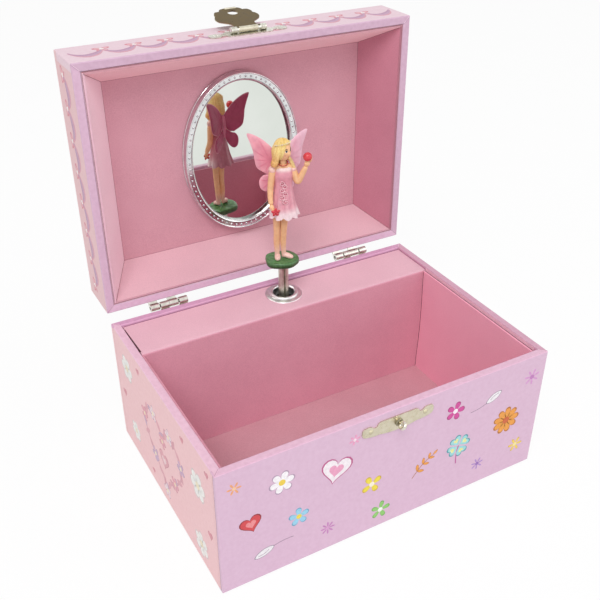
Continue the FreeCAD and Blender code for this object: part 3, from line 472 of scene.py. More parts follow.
def flocked(name, colour_with_painted_light, painted_lit_top=None):
    """Flock glued to card: a fine speckle and nap, a slow drift of tone, and a pale sheen at a glancing view.
    Its dark and light give each card its tone, which differs per card as painted light and shade; a card
    folded over at the top may take a paler tone of painted light there."""
    material = finish(name, 0.95)
    fibres, drift = (grain_of(material, scale, detail=2.0) for scale in (3000.0, 55.0))
    mean = wire(material.node_tree, "Mix", {"Factor": 0.3, 2: fibres, 3: drift})[0]
    colours = [tones(material, mean, *pair, (0.36, 0.64)) for pair in (colour_with_painted_light, painted_lit_top) if pair]
    colour = split_at(material, *colours, (0, 0, 1), 0.0594) if painted_lit_top else colours[0]
    raise_by(material, fibres, 0.00015, 0.5)
    coat(material, {"Base Color": colour, "Specular IOR Level": 0.1, "Sheen Weight": 0.8,
                    "Sheen Roughness": 0.45, "Sheen Tint": chip("f6d9e0")})
    return material


# The flock tones below differ per card as painted light and shade; the right card and the cover's top are
# painted paler.
dress(flocked("flock_floor", ("c9959f", "d6a3ae")), "floor_pad")
dress(flocked("flock_wall", ("cf90a1", "dda0b0")), "front_liner", "left_liner")
dress(flocked("flock_end", ("f4a9c0", "fbb6ca")), "right_liner")
dress(flocked("flock_cover", ("de9db0", "ebabbd"), ("e0b1bf", "ebbdca")), "movement_cover")
shelf = face_of((0, 0, SHELF), (1, 0, 0), (0, 1, 0))
liner_low, liner_high = (np.array(corner) * 1000 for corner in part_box("right_liner"))
inside_right = face_of((liner_high[0] + 0.15, 0, 0), (0, -1, 0), (0, 0, 1))
on_liner = face_of((liner_low[0], 0, 0), (0, -1, 0), (0, 0, 1))
liner_edge = face_of((0, 0, liner_high[2]), (1, 0, 0), (0, 1, 0))
run, drop = np.linspace(-27.1, 49.4, 40), np.linspace(0, 1, 40)
corner_gap = path_of(-26.9 + 0.7 * np.sin(np.pi * drop) ** 1.5, 59.0 - 56.0 * drop)
# Painted shade: dark lines along the shelf's back gap, at its left end, on the right card's top edge and in
# its corner with the cover; the pale band on the right wall is rim paper painted paler as painted light.
painted_shelf_shade = [
    stroke(shelf, path_of(np.linspace(-71.6, 72.1, 30), 50.28), 0.22, PROUD, "9c5f7c"),
    stroke(shelf, path_of(-72.0, np.linspace(29.0, 48.0, 20)), np.linspace(0.55, 0.15, 20), PROUD, "4a2a33"),
    stroke(inside_right, path_of(run, 60.0), 0.78, 0.03, "f3cbd8"),
    stroke(liner_edge, path_of(liner_high[0] - 0.1, -run), 0.14, PROUD, "7d4356"),
    stroke(on_liner, corner_gap, 0.13 + 0.1 * np.sin(np.pi * drop), PROUD, "7d3f4c")]
piece("shelf_painted_shade", "box", painted_shelf_shade, fold_paper)

# Lid: a top board on four rails, covered in pale pink paper with a lilac band folded over the rim.
# It stands open on its hinges, so its prints are drawn closed and carried back about the hinge line.
OPEN = np.radians(-90.6)
HINGE = np.array([0.0, 57.25, 60.9])
LID_RIM, LID_TOP = 61.0, 83.6
LID_BAND, LID_PINK, RAIL_PINK = ("d0adc4", "d5b4c9"), ("e3bbbe", "e8c2c5"), ("e5c8d3", "e9d0d9")


def opened(points):
    """A place on the closed lid, turned back about the hinge line."""
    c, s = np.cos(OPEN), np.sin(OPEN)
    turn = np.array([[1, 0, 0], [0, c, -s], [0, s, c]])
    return (np.asarray(points, float) - HINGE) @ turn.T + HINGE


def lid_face(origin, right, up):
    """A flat face of the closed lid, carried open with the lid."""
    face = face_of(origin, right, up)
    swung = {"from": opened(face["from"])}
    for way in ("right", "up", "out"):
        swung[way] = opened(face["from"] + face[way]) - swung["from"]
    return swung


def lid_paper(name, face, band, way, edge):
    """Paper of the lid, whose band starts past an edge point of the closed lid, along a way out from it."""
    out = opened(way) - opened((0, 0, 0))
    return printed_paper(name, face, band, tuple(out), float(opened(edge) @ out) * 0.001)


RIM_EDGE, DOWN = (0, 0, LID_RIM + 0.4), (0, 0, -1)
dress(lid_paper("rail_paper", RAIL_PINK, LID_BAND, DOWN, RIM_EDGE), "lid_front_rail")
dress(lid_paper("lid_paper", LID_PINK, LID_BAND, DOWN, RIM_EDGE),
      "lid_back_rail", "lid_left_rail", "lid_right_rail")
dress(lid_paper("top_paper", LID_PINK, RAIL_PINK, (0, -1, 0), (0, -HALF_DEEP + 0.15, LID_TOP)), "lid_top")


def swags(face, half, first, spans, knots, full=1.0, wide=1.0):
    """Ribbon swags hung from bows: each span dips by a sine between knots and is widest past its middle."""
    pitch, hang, dip = 13.3, 13.4, 6.2
    t = np.linspace(0, 1, 26)
    shapes = []
    for k in range(spans):
        a = -half + first + pitch * (k + t)
        b = hang - dip * full * np.sin(np.pi * t ** 0.9) ** 0.8
        broad = wide * (0.4 + 1.75 * np.sin(np.pi * t ** 1.15))
        for lift, part, high, tint in ((0, 1, 0.028, "dd9bad"), (0.25, 0.72, 0.04, "c79ab8"),
                                       (0.62, 0.28, 0.048, "bb8bac")):
            shapes.append(stroke(face, path_of(a, b + lift * broad), part * broad, high, tint))
    for k in knots:
        knot = (-half + first + pitch * k, hang + 0.5)
        for up, down in ((156, 232), (24, -52)):
            loop = placed(LEAF * (1.0, 1.5) + (1.0, 0), (0, 0), up, 1.9)
            shapes.append(wafer(face, placed(loop, knot), 0.05, "d97f90"))
            shapes.append(wafer(face, placed(loop * 0.6 + loop.mean(0) * 0.36, knot), 0.058, "eeb4bd"))
            tail = placed(path_of(t, -0.25 * np.sin(np.pi * t)), knot, down, 3.2)
            shapes.append(stroke(face, tail, 0.25 + 0.35 * t, 0.052, "dc8d9c"))
        shapes.append(wafer(face, placed(DISC, knot, 0, 0.95), 0.064, "fdf3f1"))
    return shapes


rail_print = []
for side in (-1, 1):
    face = lid_face((0, side * HALF_DEEP, LID_RIM), (-side, 0, 0), (0, 0, 1))
    rail_print += swags(face, HALF_WIDE, 3.0, 11, range(1, 11))
for side in (-1, 1):
    face = lid_face((side * HALF_WIDE, 0, LID_RIM), (0, side, 0), (0, 0, 1))
    rail_print += swags(face, HALF_DEEP, 7.7, 7, range(8), 0.7, 1.15)
piece("lid_rail_print", "lid", rail_print, ink)

top = lid_face((0, 0, LID_TOP), (1, 0, 0), (0, 1, 0))
WREATH = (56, 36)
WHITE_INK, ROSE_INK, EYE_INK, LEAF_INK = "fbf5f7", "c79bb5", "f6e3a8", "b9d3a4"
top_print = [stroke(top, circle(FULL_TURN) * WREATH, 1.3, 0.026, "dba6c4"),
             stroke(top, circle(FULL_TURN) * (56.6, 36.6), 0.5, 0.038, "cf8fb2")]
for k in range(18):
    place = circle(k * np.pi / 9) * WREATH
    petal, edge = (("e88ea6", "c9647f"), (WHITE_INK, ROSE_INK), ("c8a0d2", "a57cb2"))[k % 3]
    for lean in (40, 150):
        top_print.append(wafer(top, placed(LEAF + (1.2, 0), place, 20 * k + lean, 2.6), 0.034, LEAF_INK))
    top_print += flower(top, place, 4.6, 5, petal, EYE_INK, 23 * k, edge)
top_print += heart(top, (0, 1), 17.0, "f0b2c6", "d07b9c", 0, "f9dfe7")
for side in (-1, 1):
    top_print += sprig(top, (side * 21, -8), 6.2, LEAF_INK, "8fb27c", 62 if side > 0 else 118)
    for end in (-1, 1):
        top_print += flower(top, (side * 66, end * 45), 5.6, 6, WHITE_INK, EYE_INK, 12, ROSE_INK, 1.1)
        top_print += heart(top, (side * 55, end * 46.5), 2.4, "e58aa0", "d3728b", side * 14)
piece("lid_top_print", "lid", top_print, ink)

# Lining of the lid: four sloping cards and a flat panel, all faced with the same pink flock, each card
# in its own tone of painted light and shade. Lines of painted shade run round it where the cards stop
# short of the rails and along the card edges, and the rim paper is mitred outside it, each rim strip in
# its own tone of painted light.
# Each lid card below has its own tone as painted light and shade: the left and front slopes are painted
# paler, the right slope darker.
dress(flocked("flock_lid", ("ce95a2", "dba3b0")), "lid_lining_centre")
for node, colour_with_painted_light in (("front", ("ebaeb6", "f8bdc4")), ("back", ("d6a8b3", "e2b4be")),
                  ("left", ("efc9d6", "f9d7e2")), ("right", ("c27d8f", "ce8a9b"))):
    dress(flocked("flock_lid_" + node, colour_with_painted_light), "lid_lining_" + node)
under = lid_face((0, 0, LID_RIM + 0.4), (1, 0, 0), (0, -1, 0))
lid_rim = lid_face((0, 0, LID_RIM - PROUD), (1, 0, 0), (0, -1, 0))
GAP, GAP_DARK = np.array([72.15, 50.4]), "8a5466"
run = np.linspace(-1, 1, 40)
lid_shade_and_folds = []
# The strokes below are painted shade: tone strokes over the cards' edges and a fine dark line along the gap
# round the lining.
for side, painted_edge_tone, painted_end_tone in ((-1, "d9a9b5", "e6bbc9"), (1, "cf97a2", "b0707f")):
    for (wide, deep), half, high, tint, end_tint in (
            (GAP - 0.5, 0.42, 0.015, painted_edge_tone, painted_end_tone), (GAP, 0.1, 0.02, GAP_DARK, GAP_DARK)):
        lid_shade_and_folds.append(stroke(under, path_of(run * wide, side * deep), half, high, tint))
        lid_shade_and_folds.append(stroke(under, path_of(side * wide, run * deep), half, high, end_tint))


def crease(start, end, half, tint):
    """The shadow line of a fold: a fine round section between points of the closed lid, with shut ends."""
    start, end = np.array(start, float), np.array(end, float)
    side = np.cross(end - start, (0.3, 0.5, 0.8))
    side = side / np.linalg.norm(side)
    other = np.cross((end - start) / np.linalg.norm(end - start), side)
    ring = half * circle(turns(8)) @ np.stack([side, other])
    return opened(np.stack([start + 0 * ring, start + ring, end + ring, end + 0 * ring])), chip(tint)


CARD_EDGE, DEEP = np.array([71.3, 49.5]), np.array([60.5, 40.5])
for k, corner in enumerate(CORNERS):
    here, beside = ((*(DEEP * CORNERS[(k + j) % 4]), LID_RIM + 17.9) for j in (0, 1))
    lid_shade_and_folds.append(crease((*(CARD_EDGE * corner), LID_RIM + 0.5), here, 0.13, "a0636f"))
    lid_shade_and_folds.append(crease(here, beside, 0.11, "a96b78"))
# Lid rim strips: one paper, toned per side as painted light; the hinge-side strip is painted paler against
# its shade.
for side, tint in enumerate(("e8c4dc", "dbb7ce", "d2b0c6", "d4b1c7")):
    lid_shade_and_folds.append((opened(rim_strip(side, LID_RIM + 0.03, LID_RIM - PROUD)), chip(tint)))
lid_shade_and_folds += mitres(lid_rim, "e2c4d5", "b892ae")
piece("lid_folds_and_painted_shade", "lid", lid_shade_and_folds, fold_paper)

# Hinges: two pairs of pressed nickel-plated leaves with curled knuckles on a steel pin, held by
# domed tacks. The small plated parts of the key are of the same kind.


def plated(name, dark, light, low, high, scale=420.0):
    """Plated metal with a faint cloudiness in colour and polish."""
    return grained(name, 0.3, scale, dark, light, gloss=(low, high), metallic=1.0)


dress(plated("nickel_plate", "cfcac0", "ebe8e0", 0.14, 0.28),
      "hinge_leaves_box", "hinge_leaves_lid", "lid_tacks", "winding_key", "winding_arbor")
# The pins are dark steel, partly their own colour and partly painted shade in the gaps between the knuckles.
dress(plated("pin_steel", "4a4442", "6a6461", 0.3, 0.45), "hinge_pins")

# Eyelet round the post: a spun nickel-plated ring with a flat flange on the shelf, a bright bead round
# the hole, its sleeve through the shelf and a rolled lip below.
SPINDLE = np.array([2.0, 41.2, 0.0])
bend = np.linspace(0, np.pi, 17)
crown = path_of(5.72 - 0.85 * np.cos(bend), 0.55 + 0.8 * np.sin(bend) ** 0.8)
rolled = [(4.86, -2.8), (4.86, 0.3), *crown, (6.7, 0.45), (7.4, 0.42), (8.1, 0.32), (8.5, 0.2), (8.6, 0.08),
          (8.58, 0.0), (5.5, 0.0), (5.5, -2.0), (6.9, -2.0), (6.8, -2.6), (6.2, -2.85), (4.86, -2.8)]
bright_nickel = plated("bright_nickel", "dcdcdc", "f0f0ee", 0.27, 0.35)


def spun(profile, middle, axis, first, second):
    """A turned piece: a profile of radius and height carried round an axis, through two ways square to it."""
    radius, height = (np.reshape(part, (-1, 1, 1)) for part in np.asarray(profile, float).T)
    ring = circle(turns(96)) @ np.array([first, second], float)
    return middle + radius * ring + height * np.array(axis, float)


eyelet = spun(rolled, SPINDLE + (0, 0, SHELF), (0, 0, 1), (1, 0, 0), (0, 1, 0))
piece("eyelet_ring", "box", [(eyelet, chip("ffffff"))], bright_nickel, stands_for="eyelet")

# Mirror: an oval of silvered glass in a moulded frame with a metallised finish. The frame has a straight
# outer wall, a flat polished band set with a row of small beads, and a stepped lip round the glass.
MIRROR = np.array([-1.15, 0.0, 78.5])
FRAME_HALF = np.array([27.85, 36.6])
BAND_HIGH, BEADS, BEAD_INSET, BEAD_RADII = 3.32, 72, 1.8, (0.5, 0.42, 0.5)
silver = tinted("metallised_plastic", 0.12, 260.0, "d9dadb", 1.0, "f2f2f2")
gloss_by(silver, grain_of(silver, 260.0), 0.07, 0.16)


def round_oval(inset, height, sides):
    """Points round the frame, set in from its outer oval along the normal and raised from the lining."""
    normal = circle(sides) / FRAME_HALF
    normal = normal / np.linalg.norm(normal, axis=1)[:, None]
    flat = circle(sides) * FRAME_HALF - normal * np.reshape(inset, (-1, 1, 1))
    high = np.broadcast_to(np.reshape(height, (-1, 1, 1)), flat.shape[:2] + (1,))
    return opened(MIRROR + np.concatenate([flat, -high], -1))


def ball(middle, radii, rows=14, sides=22):
    """An egg: the unit sphere's directions, by polar angle and turn, stretched by three radii."""
    polar = np.linspace(0, np.pi, rows)[:, None]
    turn = turns(sides)[None]
    way = np.stack([np.sin(polar) * np.cos(turn), np.sin(polar) * np.sin(turn), np.cos(polar) + 0 * turn], -1)
    return np.asarray(middle, float) + way * np.asarray(radii, float)


bow = np.linspace(0, np.pi, 11)
section = np.array([
    (0.0, 0.0), (0.0, 0.35), (0.12, 0.45), (0.12, 3.2),
    *path_of(0.42 - 0.3 * np.cos(bow), 3.4 + 0.38 * np.sin(bow)),
    (0.8, BAND_HIGH), (2.7, BAND_HIGH), (2.76, 3.16), (2.84, 3.16),
    *path_of(2.86 + 0.74 * np.sin(bow / 2), 2.5 + 0.86 * np.cos(bow / 2)),
    (3.66, 2.3), (3.86, 2.2), (3.9, 1.23), (1.8, 1.23), (1.8, 0.0), (0.0, 0.0)])
inset = section[:, 0]
# Painted shade: the grooves of the stepped lip and the small step are tinted dark, and the beads below are
# tinted darker than the band.
painted_shade_groove = (inset > 3.65) | (inset > 2.75) & (inset < 2.85)
band_tint = np.where(painted_shade_groove[:, None], (0.4, 0.4, 0.4, 1.0), (0.92, 0.92, 0.92, 1.0))
frame_shapes = [(round_oval(*section.T, turns(220)), band_tint[:, None])]
step = np.linspace(0, 2 * np.pi, 721)
gone = np.cumsum(np.linalg.norm(np.diff(circle(step) * FRAME_HALF, axis=0), axis=1))
even = np.interp(np.linspace(0, gone[-1], BEADS, endpoint=False), np.append(0.0, gone), step)
for seat in round_oval([BEAD_INSET], [BAND_HIGH], even)[0]:
    frame_shapes.append((ball(seat, BEAD_RADII, 9, 12), chip("cfcfd1")))
piece("mirror_frame_beaded", "lid", frame_shapes, silver, 35.0, "mirror_frame")
dress(grained("silvered_glass", 0.02, 40.0, "dadfd8", "e3e7e1", gloss=(0.0, 0.03), metallic=1.0),
      "mirror_glass")
dress(grained("foam_tape", 0.9, 1500.0, "d9d6cf", "efede8", 0.0002), "mirror_pad")

# Clasp and catch: shaped plates stamped from thin champagne-plated steel, a flap on a pin, and a
# turning staple that goes through the slot of the flap. The back of the flap is tinted dull bronze as a
# painted dark reflection, and the staple's collar and loop carry painted shade and highlight.
CLASP = np.array([0.5, -HALF_DEEP - 1.75, LID_RIM + 8.0])
FLAP_SWING, FLAP_HALF, SLOT = np.radians(-168.0), 0.3, np.array([0.0, 14.8])
champagne = plated("champagne_plate", "ccc3a9", "e0d8c3", 0.22, 0.4)
clasp_silver = plated("clasp_silver", "b5b2a3", "e8e6dc", 0.14, 0.3, 900.0)
for metal, deep, strength, node in ((champagne, 0.00006, 0.5, "catch_plate"),
                                    (clasp_silver, 0.00008, 0.6, "clasp_plate")):
    raise_by(metal, grain_of(metal, 1400.0), deep, strength)
    dress(metal, node)
dress(plated("dull_champagne", "c6bfa2", "d3ccb1", 0.5, 0.65), "box_tacks")
dress(bright_nickel, "clasp_pin")


def on_flap(points):
    """A place on the flap by width, drop from the pin and height off the lid, swung up and carried open."""
    u, v, w = np.moveaxis(np.asarray(points, float), -1, 0)
    c, s = np.cos(FLAP_SWING), np.sin(FLAP_SWING)
    return opened(CLASP + np.stack([u, -w * c + v * s, -w * s - v * c], -1))


def cubic(points, k, u):
    """Places at shares u of runs k: each run is a cubic whose end slopes are half its neighbours' chord."""
    p0, p1, p2, p3 = (points[k + j] for j in range(4))
    curved = (2 * p0 - 5 * p1 + 4 * p2 - p3) * u ** 2 + (3 * p1 - p0 - 3 * p2 + p3) * u ** 3
    return 0.5 * (2 * p1 + (p2 - p0) * u + curved)


half_shell = np.array([
    (4.9, 0.3), (4.9, 3.4), (5.5, 5.4), (7.5, 6.9), (9.3, 8.4), (9.9, 10.6), (9.3, 12.5), (8.5, 13.2),
    (8.6, 14.6), (7.6, 16.5), (6.0, 16.9), (5.4, 17.0), (4.6, 18.4), (3.0, 19.1), (0.6, 19.2)])
whole = np.concatenate([half_shell, half_shell[::-1] * (-1, 1)])
t = np.linspace(0, len(whole), 240, endpoint=False)
shell = cubic(np.concatenate([whole[-1:], whole, whole[:2]]), t.astype(int), (t % 1)[:, None])
bearing = np.arctan2(*(shell - SLOT).T[::-1])
slot_reach = 1 / np.sqrt((np.cos(bearing) / 2.3) ** 2 + (np.sin(bearing) / 1.9) ** 2)
slot_edge = circle(bearing) * slot_reach[:, None] + SLOT
# The back of the flap, the side seen with the lid open, is tinted dark bronze as a painted dark reflection.
PAINTED_DARK_BACK, BRIGHT = chip("6f5d38"), chip("d9d2ba")
lines = (shell, slot_edge, slot_edge, shell, shell)
highs = (FLAP_HALF, FLAP_HALF, -FLAP_HALF, -FLAP_HALF, FLAP_HALF)
plate = np.stack([np.column_stack([line, np.full(len(line), w)]) for line, w in zip(lines, highs)])
flap_shapes = [(on_flap(plate), np.stack([BRIGHT, BRIGHT, PAINTED_DARK_BACK, PAINTED_DARK_BACK, BRIGHT])[:, None])]
curl = circle(turns(26))
for u0, u1, v0, w0, radii in ((-4.2, 4.2, 0.0, 0.0, (1.2, 1.2)), (-2.0, 3.1, 18.85, 0.1, (0.5, 0.8))):
    ends = ((u0, 0), (u0, 1), (u1, 1), (u1, 0))
    rows = [np.column_stack([np.full(len(curl), u), curl * radii * k + (v0, w0)]) for u, k in ends]
    flap_shapes.append((on_flap(np.stack(rows)), chip("e6e0cc")))
stamped = tinted("stamped_plate", 0.34, 420.0, "dcdad6", 1.0)
gloss_by(stamped, grain_of(stamped, 420.0), 0.26, 0.42)
piece("scalloped_flap", "flap", flap_shapes, stamped, stands_for="clasp_flap")
STAPLE, AHEAD = np.array([0.5, -HALF_DEEP - 0.6, LID_RIM - 6.8]), np.array([0, -1.0, 0])
LOOP, WIRE = 1.15, 0.78
collar = [(0.0, -0.1), (1.7, -0.1), (1.75, 0.35), (1.5, 0.6), (0.9, 0.75), (0.85, 1.9), (0.0, 2.0)]
# The collar is tinted darker and the loop paler than the plate, as painted shade and painted highlight.
staple_shapes = [(spun(collar, STAPLE, AHEAD, (1, 0, 0), (0, 0, 1)), chip("a09880"))]
round_loop, round_wire = np.linspace(0, 2 * np.pi, 41)[:, None, None], turns(16)[None, :, None]
across = np.array([np.cos(0.9), 0, np.sin(0.9)])
loop = (LOOP + WIRE * np.cos(round_wire)) * (np.cos(round_loop) * AHEAD + np.sin(round_loop) * across)
loop = loop + WIRE * np.sin(round_wire) * np.cross(AHEAD, across)
staple_shapes.append((STAPLE + 2.5 * AHEAD + loop, chip("f0ece0")))
polished = tinted("polished_plate", 0.14, 420.0, "d6d4ce", 1.0)
gloss_by(polished, grain_of(polished, 420.0), 0.08, 0.18)
piece("turning_staple", "staple", staple_shapes, polished, stands_for="catch_staple")

# Movement behind the cover: a cast bedplate with brass wheels, a steel comb and pin cylinder, a
# nylon governor and a wound mainspring, screwed to the back wall.
dress(plated("cast_bedplate", "8f9193", "a9abad", 0.4, 0.6, 700.0), "bedplate", "governor_bracket")
dress(plated("screw_steel", "a2a4a8", "c3c5c8", 0.25, 0.4),
      "wood_screws", "small_screws", "cylinder_arbor", "clutch_spring")
dress(plated("comb_steel", "8b8f96", "b3b6bb", 0.15, 0.3), "comb")
dress(plated("brass", "c69c4a", "dcb664", 0.2, 0.36),
      "spring_barrel", "barrel_cap", "cylinder_wheel", "pin_cylinder", "intermediate_wheel",
      "spindle_ferrule")
dress(plated("blued_spring", "4a5263", "6a7283", 0.25, 0.4), "mainspring")
dress(grained("nylon", 0.45, 300.0, "e3dfd2", "f0ece0", gloss=(0.38, 0.55)), "governor_worm", "governor_fan")

# Post: a satin steel tube, rolled with one open seam and scored with fine turns, between the ferrule
# and the figure's stand.
POST, PITCH, GROOVE = 2.3, 0.6, 0.012
SEAM, SEAM_WIDE, SEAM_DEEP = 4.55, 0.16, 1.1
POST_FOOT, POST_HEAD = 57.5, 75.5
level = np.linspace(POST_FOOT, POST_HEAD, 241)[:, None]
round_post = turns(120)
coil = POST - GROOVE * (0.5 + 0.5 * np.cos(2 * np.pi * (level - POST_FOOT) / PITCH - round_post)) ** 2
coil = coil - SEAM_DEEP * np.exp(-((round_post - SEAM) / SEAM_WIDE) ** 2)
upward = np.broadcast_to(level[..., None], coil.shape + (1,))
tube = np.concatenate([coil[..., None] * circle(round_post), upward], -1)
caps = np.array([(0, 0, POST_FOOT), (0, 0, POST_HEAD)])[:, None].repeat(len(round_post), 1)
tube = np.concatenate([caps[:1], tube, caps[1:]]) + SPINDLE
spring_wire = plated("spring_wire", "b9b8ab", "dcdccd", 0.3, 0.42)
post = piece("wound_post", None, [(tube, chip("ffffff"))], spring_wire, 60.0, "spring_post")
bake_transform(post)

# Stand of the figure: a thick moulded mound with a softly lobed edge, painted glossy leaf green and
# darker towards its foot as painted shade, pressed over the top of the post.
TURN, STAND_HALF = np.radians(-15.8), (7.5, 6.6)


def posed(shapes):
    """Shapes in the figure's own frame, facing the front, turned and set on the post."""
    c, s = np.cos(TURN), np.sin(TURN)
    turn = np.array([[c, s, 0], [-s, c, 0], [0, 0, 1]])
    return [(points @ turn + SPINDLE + (0, 0, POST_HEAD), tint) for points, tint in shapes]


def mixed(first, second, share):
    """A colour between two, by the share of the second."""
    return first * (1 - share) + second * share


lobes = turns(120)
squared = circle(lobes)
wavy = 1 + 0.03 * np.cos(5 * lobes + 0.6)
leaf_edge = np.sign(squared) * np.abs(squared) ** 0.8 * STAND_HALF * wavy[:, None]
share, level = np.array([
    (0.0, 0.0), (0.6, 0.0), (0.82, 0.08), (0.92, 0.35), (0.98, 0.85), (1.0, 1.4), (0.995, 2.1), (0.97, 2.75),
    (0.92, 3.02), (0.82, 3.12), (0.7, 3.16), (0.45, 3.1), (0.0, 3.12)]).T[..., None]
veins = 0.12 * np.cos(10 * lobes) * (share * (1 - share) * 4) * (level > 2.8)
mound = np.concatenate([share[..., None] * leaf_edge + (-0.4, 0.9), (level + veins)[..., None]], -1)
# The green runs dark at the foot to light on top: painted shade.
leaf_green_with_painted_shade = mixed(chip("2b4f29"), chip("5f8f57"), np.clip(level / 3.1, 0, 1)[..., None] ** 2)
leaf_paint = tinted("leaf_paint", 0.34, 900.0, "b4b9ae")
raise_by(leaf_paint, grain_of(leaf_paint, 700.0), 0.0002, 0.5)
piece("leaf_stand", "figure", posed([(mound, leaf_green_with_painted_shade)]), leaf_paint,
      stands_for="figure_stand")

# Legs, arms, neck and head of the figure: moulded in soft peach plastic with painted pale-pink feet.
# Each is a rounded limb run along a curve, and the feet stand on the leaf.
SKIN, FOOT = chip("f6c596"), chip("f6cec4")
UPWARD = (0, 0, 1)


def smooth(points, steps, ease=True):
    """A curve through points, in steps that may be closer together at its ends."""
    points = np.asarray(points, float)
    padded = np.concatenate([2 * points[:1] - points[1:2], points, 2 * points[-1:] - points[-2:-1]])
    t = np.linspace(0, 1, steps)
    t = (0.5 - 0.5 * np.cos(np.pi * t) if ease else t) * (len(points) - 1)
    k = np.minimum(t.astype(int), len(points) - 2)
    return cubic(padded, k, (t - k)[:, None])


def limb(path, half, deep=1.0, front=(0.0, -1.0, 0.0), sides=18, steps=34):
    """Rings of the given half widths carried along a smooth path and rounded off over one half width at
    each end. deep scales the rings towards the front."""
    curve = smooth(path, steps)
    wide = smooth(np.reshape(half, (-1, 1)), steps)[:, 0]
    run = np.gradient(curve, axis=0)
    run = run / np.linalg.norm(run, axis=1)[:, None]
    side = np.cross(run, front)
    side = side / np.linalg.norm(side, axis=1)[:, None]
    ahead = np.cross(side, run)
    gone = np.append(0.0, np.cumsum(np.linalg.norm(np.diff(curve, axis=0), axis=1)))
    near = np.clip(np.minimum(gone, gone[-1] - gone) / np.where(gone < gone[-1] / 2, wide[0], wide[-1]), 0, 1)
    wide = wide * np.sqrt(1 - (1 - near) ** 2)
    turn = turns(sides)[None, :, None]
    ring = np.cos(turn) * side[:, None] + deep * np.sin(turn) * ahead[:, None]
    return curve[:, None] + wide[:, None, None] * ring


def faded(points, low, high, dark, light):
    """A shape whose tint runs from dark at one height to light at another."""
    return points, mixed(dark, light, np.clip((points[..., 2:] - low) / (high - low), 0, 1))


LEG_Y, LEG_Z = (0.35, 0.3, 0.5, 0.1, 0.0, 0.0), (3.4, 5.6, 11.5, 16.0, 22.0, 28.5)
skin = []
for across, half in (((-2.6, -2.65, -2.75, -2.75, -2.7, -2.5), (1.0, 1.08, 1.4, 1.4, 1.6, 1.9)),
                     ((0.45, 0.35, 0.2, 0.3, 0.6, 1.3), (1.0, 1.02, 1.4, 1.45, 1.75, 2.0))):
    leg = limb(np.column_stack([across, LEG_Y, LEG_Z]), half, 0.95, sides=22, steps=44)
    skin.append(faded(leg, 5.0, 11.0, FOOT, SKIN))
for path in ([(-2.5, 1.3, 4.1), (-2.55, 0.2, 4.6), (-2.8, -1.3, 4.2), (-3.1, -2.7, 3.7)],
             [(0.1, 1.1, 4.1), (0.9, 0.3, 4.6), (2.5, -0.6, 4.2), (4.3, -1.6, 3.7)]):
    skin.append((limb(path, [1.0, 1.3, 1.3, 0.95], 0.85, UPWARD), FOOT))
ROUND_ARM, FLAT_HAND, FINE = {"sides": 20, "steps": 44}, {"deep": 0.65}, {"sides": 8, "steps": 12}
limbs = [
    ([(-3.4, 0.1, 46.6), (-4.2, 0.1, 44.4), (-4.75, 0.2, 40.5), (-5.15, 0.1, 37.0), (-5.5, -1.3, 33.6),
      (-5.55, -2.7, 30.9)], [1.5, 1.55, 1.45, 1.35, 1.2, 0.95], ROUND_ARM),
    ([(4.1, 0.1, 46.0), (5.0, 0.0, 44.0), (5.9, -0.4, 41.6), (6.7, -0.8, 40.3), (8.0, -1.2, 42.6),
      (10.0, -1.9, 47.2)], [1.5, 1.65, 1.6, 1.5, 1.35, 1.05], ROUND_ARM),
    ([(-5.55, -2.5, 31.4), (-5.35, -3.2, 30.0), (-4.9, -3.8, 28.9)], [0.85, 1.05, 0.6], FLAT_HAND),
    ([(9.9, -1.8, 46.9), (10.35, -2.1, 48.4), (10.7, -1.8, 49.9)], [0.9, 1.2, 0.8], FLAT_HAND)]
for k in range(4):
    lean = -0.4 + 0.55 * k
    finger = [(10.4 + lean, -1.9, 48.8), (10.7 + 1.4 * lean, -1.3, 50.2), (10.6 + 1.5 * lean, -1.2, 51.4)]
    limbs.append((finger, [0.42, 0.38, 0.3], FINE))
    finger = [(-5.4 + 0.3 * k, -3.7, 29.6), (-5.2 + 0.36 * k, -4.2, 28.5), (-4.9 + 0.3 * k, -4.3, 27.7)]
    limbs.append((finger, [0.36, 0.32, 0.25], FINE))
limbs.append(([(-4.0, 0.2, 46.2), (-2.0, 0.15, 46.9), (0.3, 0.1, 47.1), (2.6, 0.15, 46.7), (4.6, 0.2, 45.8)],
              [1.2, 1.6, 1.75, 1.6, 1.2], {"front": UPWARD}))
limbs.append(([(0.3, 0.3, 45.6), (0.3, 0.2, 47.8), (0.3, 0.0, 49.8), (0.3, -0.1, 52.0)],
              [2.3, 1.5, 1.35, 1.45], {}))
skin += [(limb(path, half, **how), SKIN) for path, half, how in limbs]
HEAD_TURN, HEAD = np.radians(38.0), np.array([0.2, -0.5, 54.75])


def on_head(turn, polar, lift=0.0):
    """A place on the head by its turn from the nose and its angle from the crown.
    An egg that narrows to the jaw, with small rises for the nose, lips and chin and hollows for the eyes."""
    turn, polar = np.broadcast_arrays(np.asarray(turn, float), np.asarray(polar, float))
    jaw = np.clip((polar - 1.7) / 1.3, 0, 1) ** 1.6
    x = (3.3 + lift) * np.sin(polar) * np.sin(turn) * (1 - 0.36 * jaw)
    y = -(3.65 + lift) * np.sin(polar) * np.cos(turn) * (1 - 0.2 * jaw)
    z = (4.65 + lift) * np.cos(polar)
    rise = -0.26 * np.exp(-((np.abs(turn) - 0.4) / 0.2) ** 2 - ((polar - 1.52) / 0.14) ** 2)
    for high, wide, at, tall in ((0.7, 0.13, 1.80, 0.16), (0.3, 0.09, 1.58, 0.2),
                                 (0.2, 0.24, 2.12, 0.09), (0.4, 0.3, 2.52, 0.17)):
        rise = rise + high * np.exp(-(turn / wide) ** 2 - ((polar - at) / tall) ** 2)
    x, y = x + rise * np.sin(turn), y - rise * np.cos(turn)
    c, s = np.cos(HEAD_TURN), np.sin(HEAD_TURN)
    return np.stack([x * c - y * s, x * s + y * c, z], -1) + HEAD


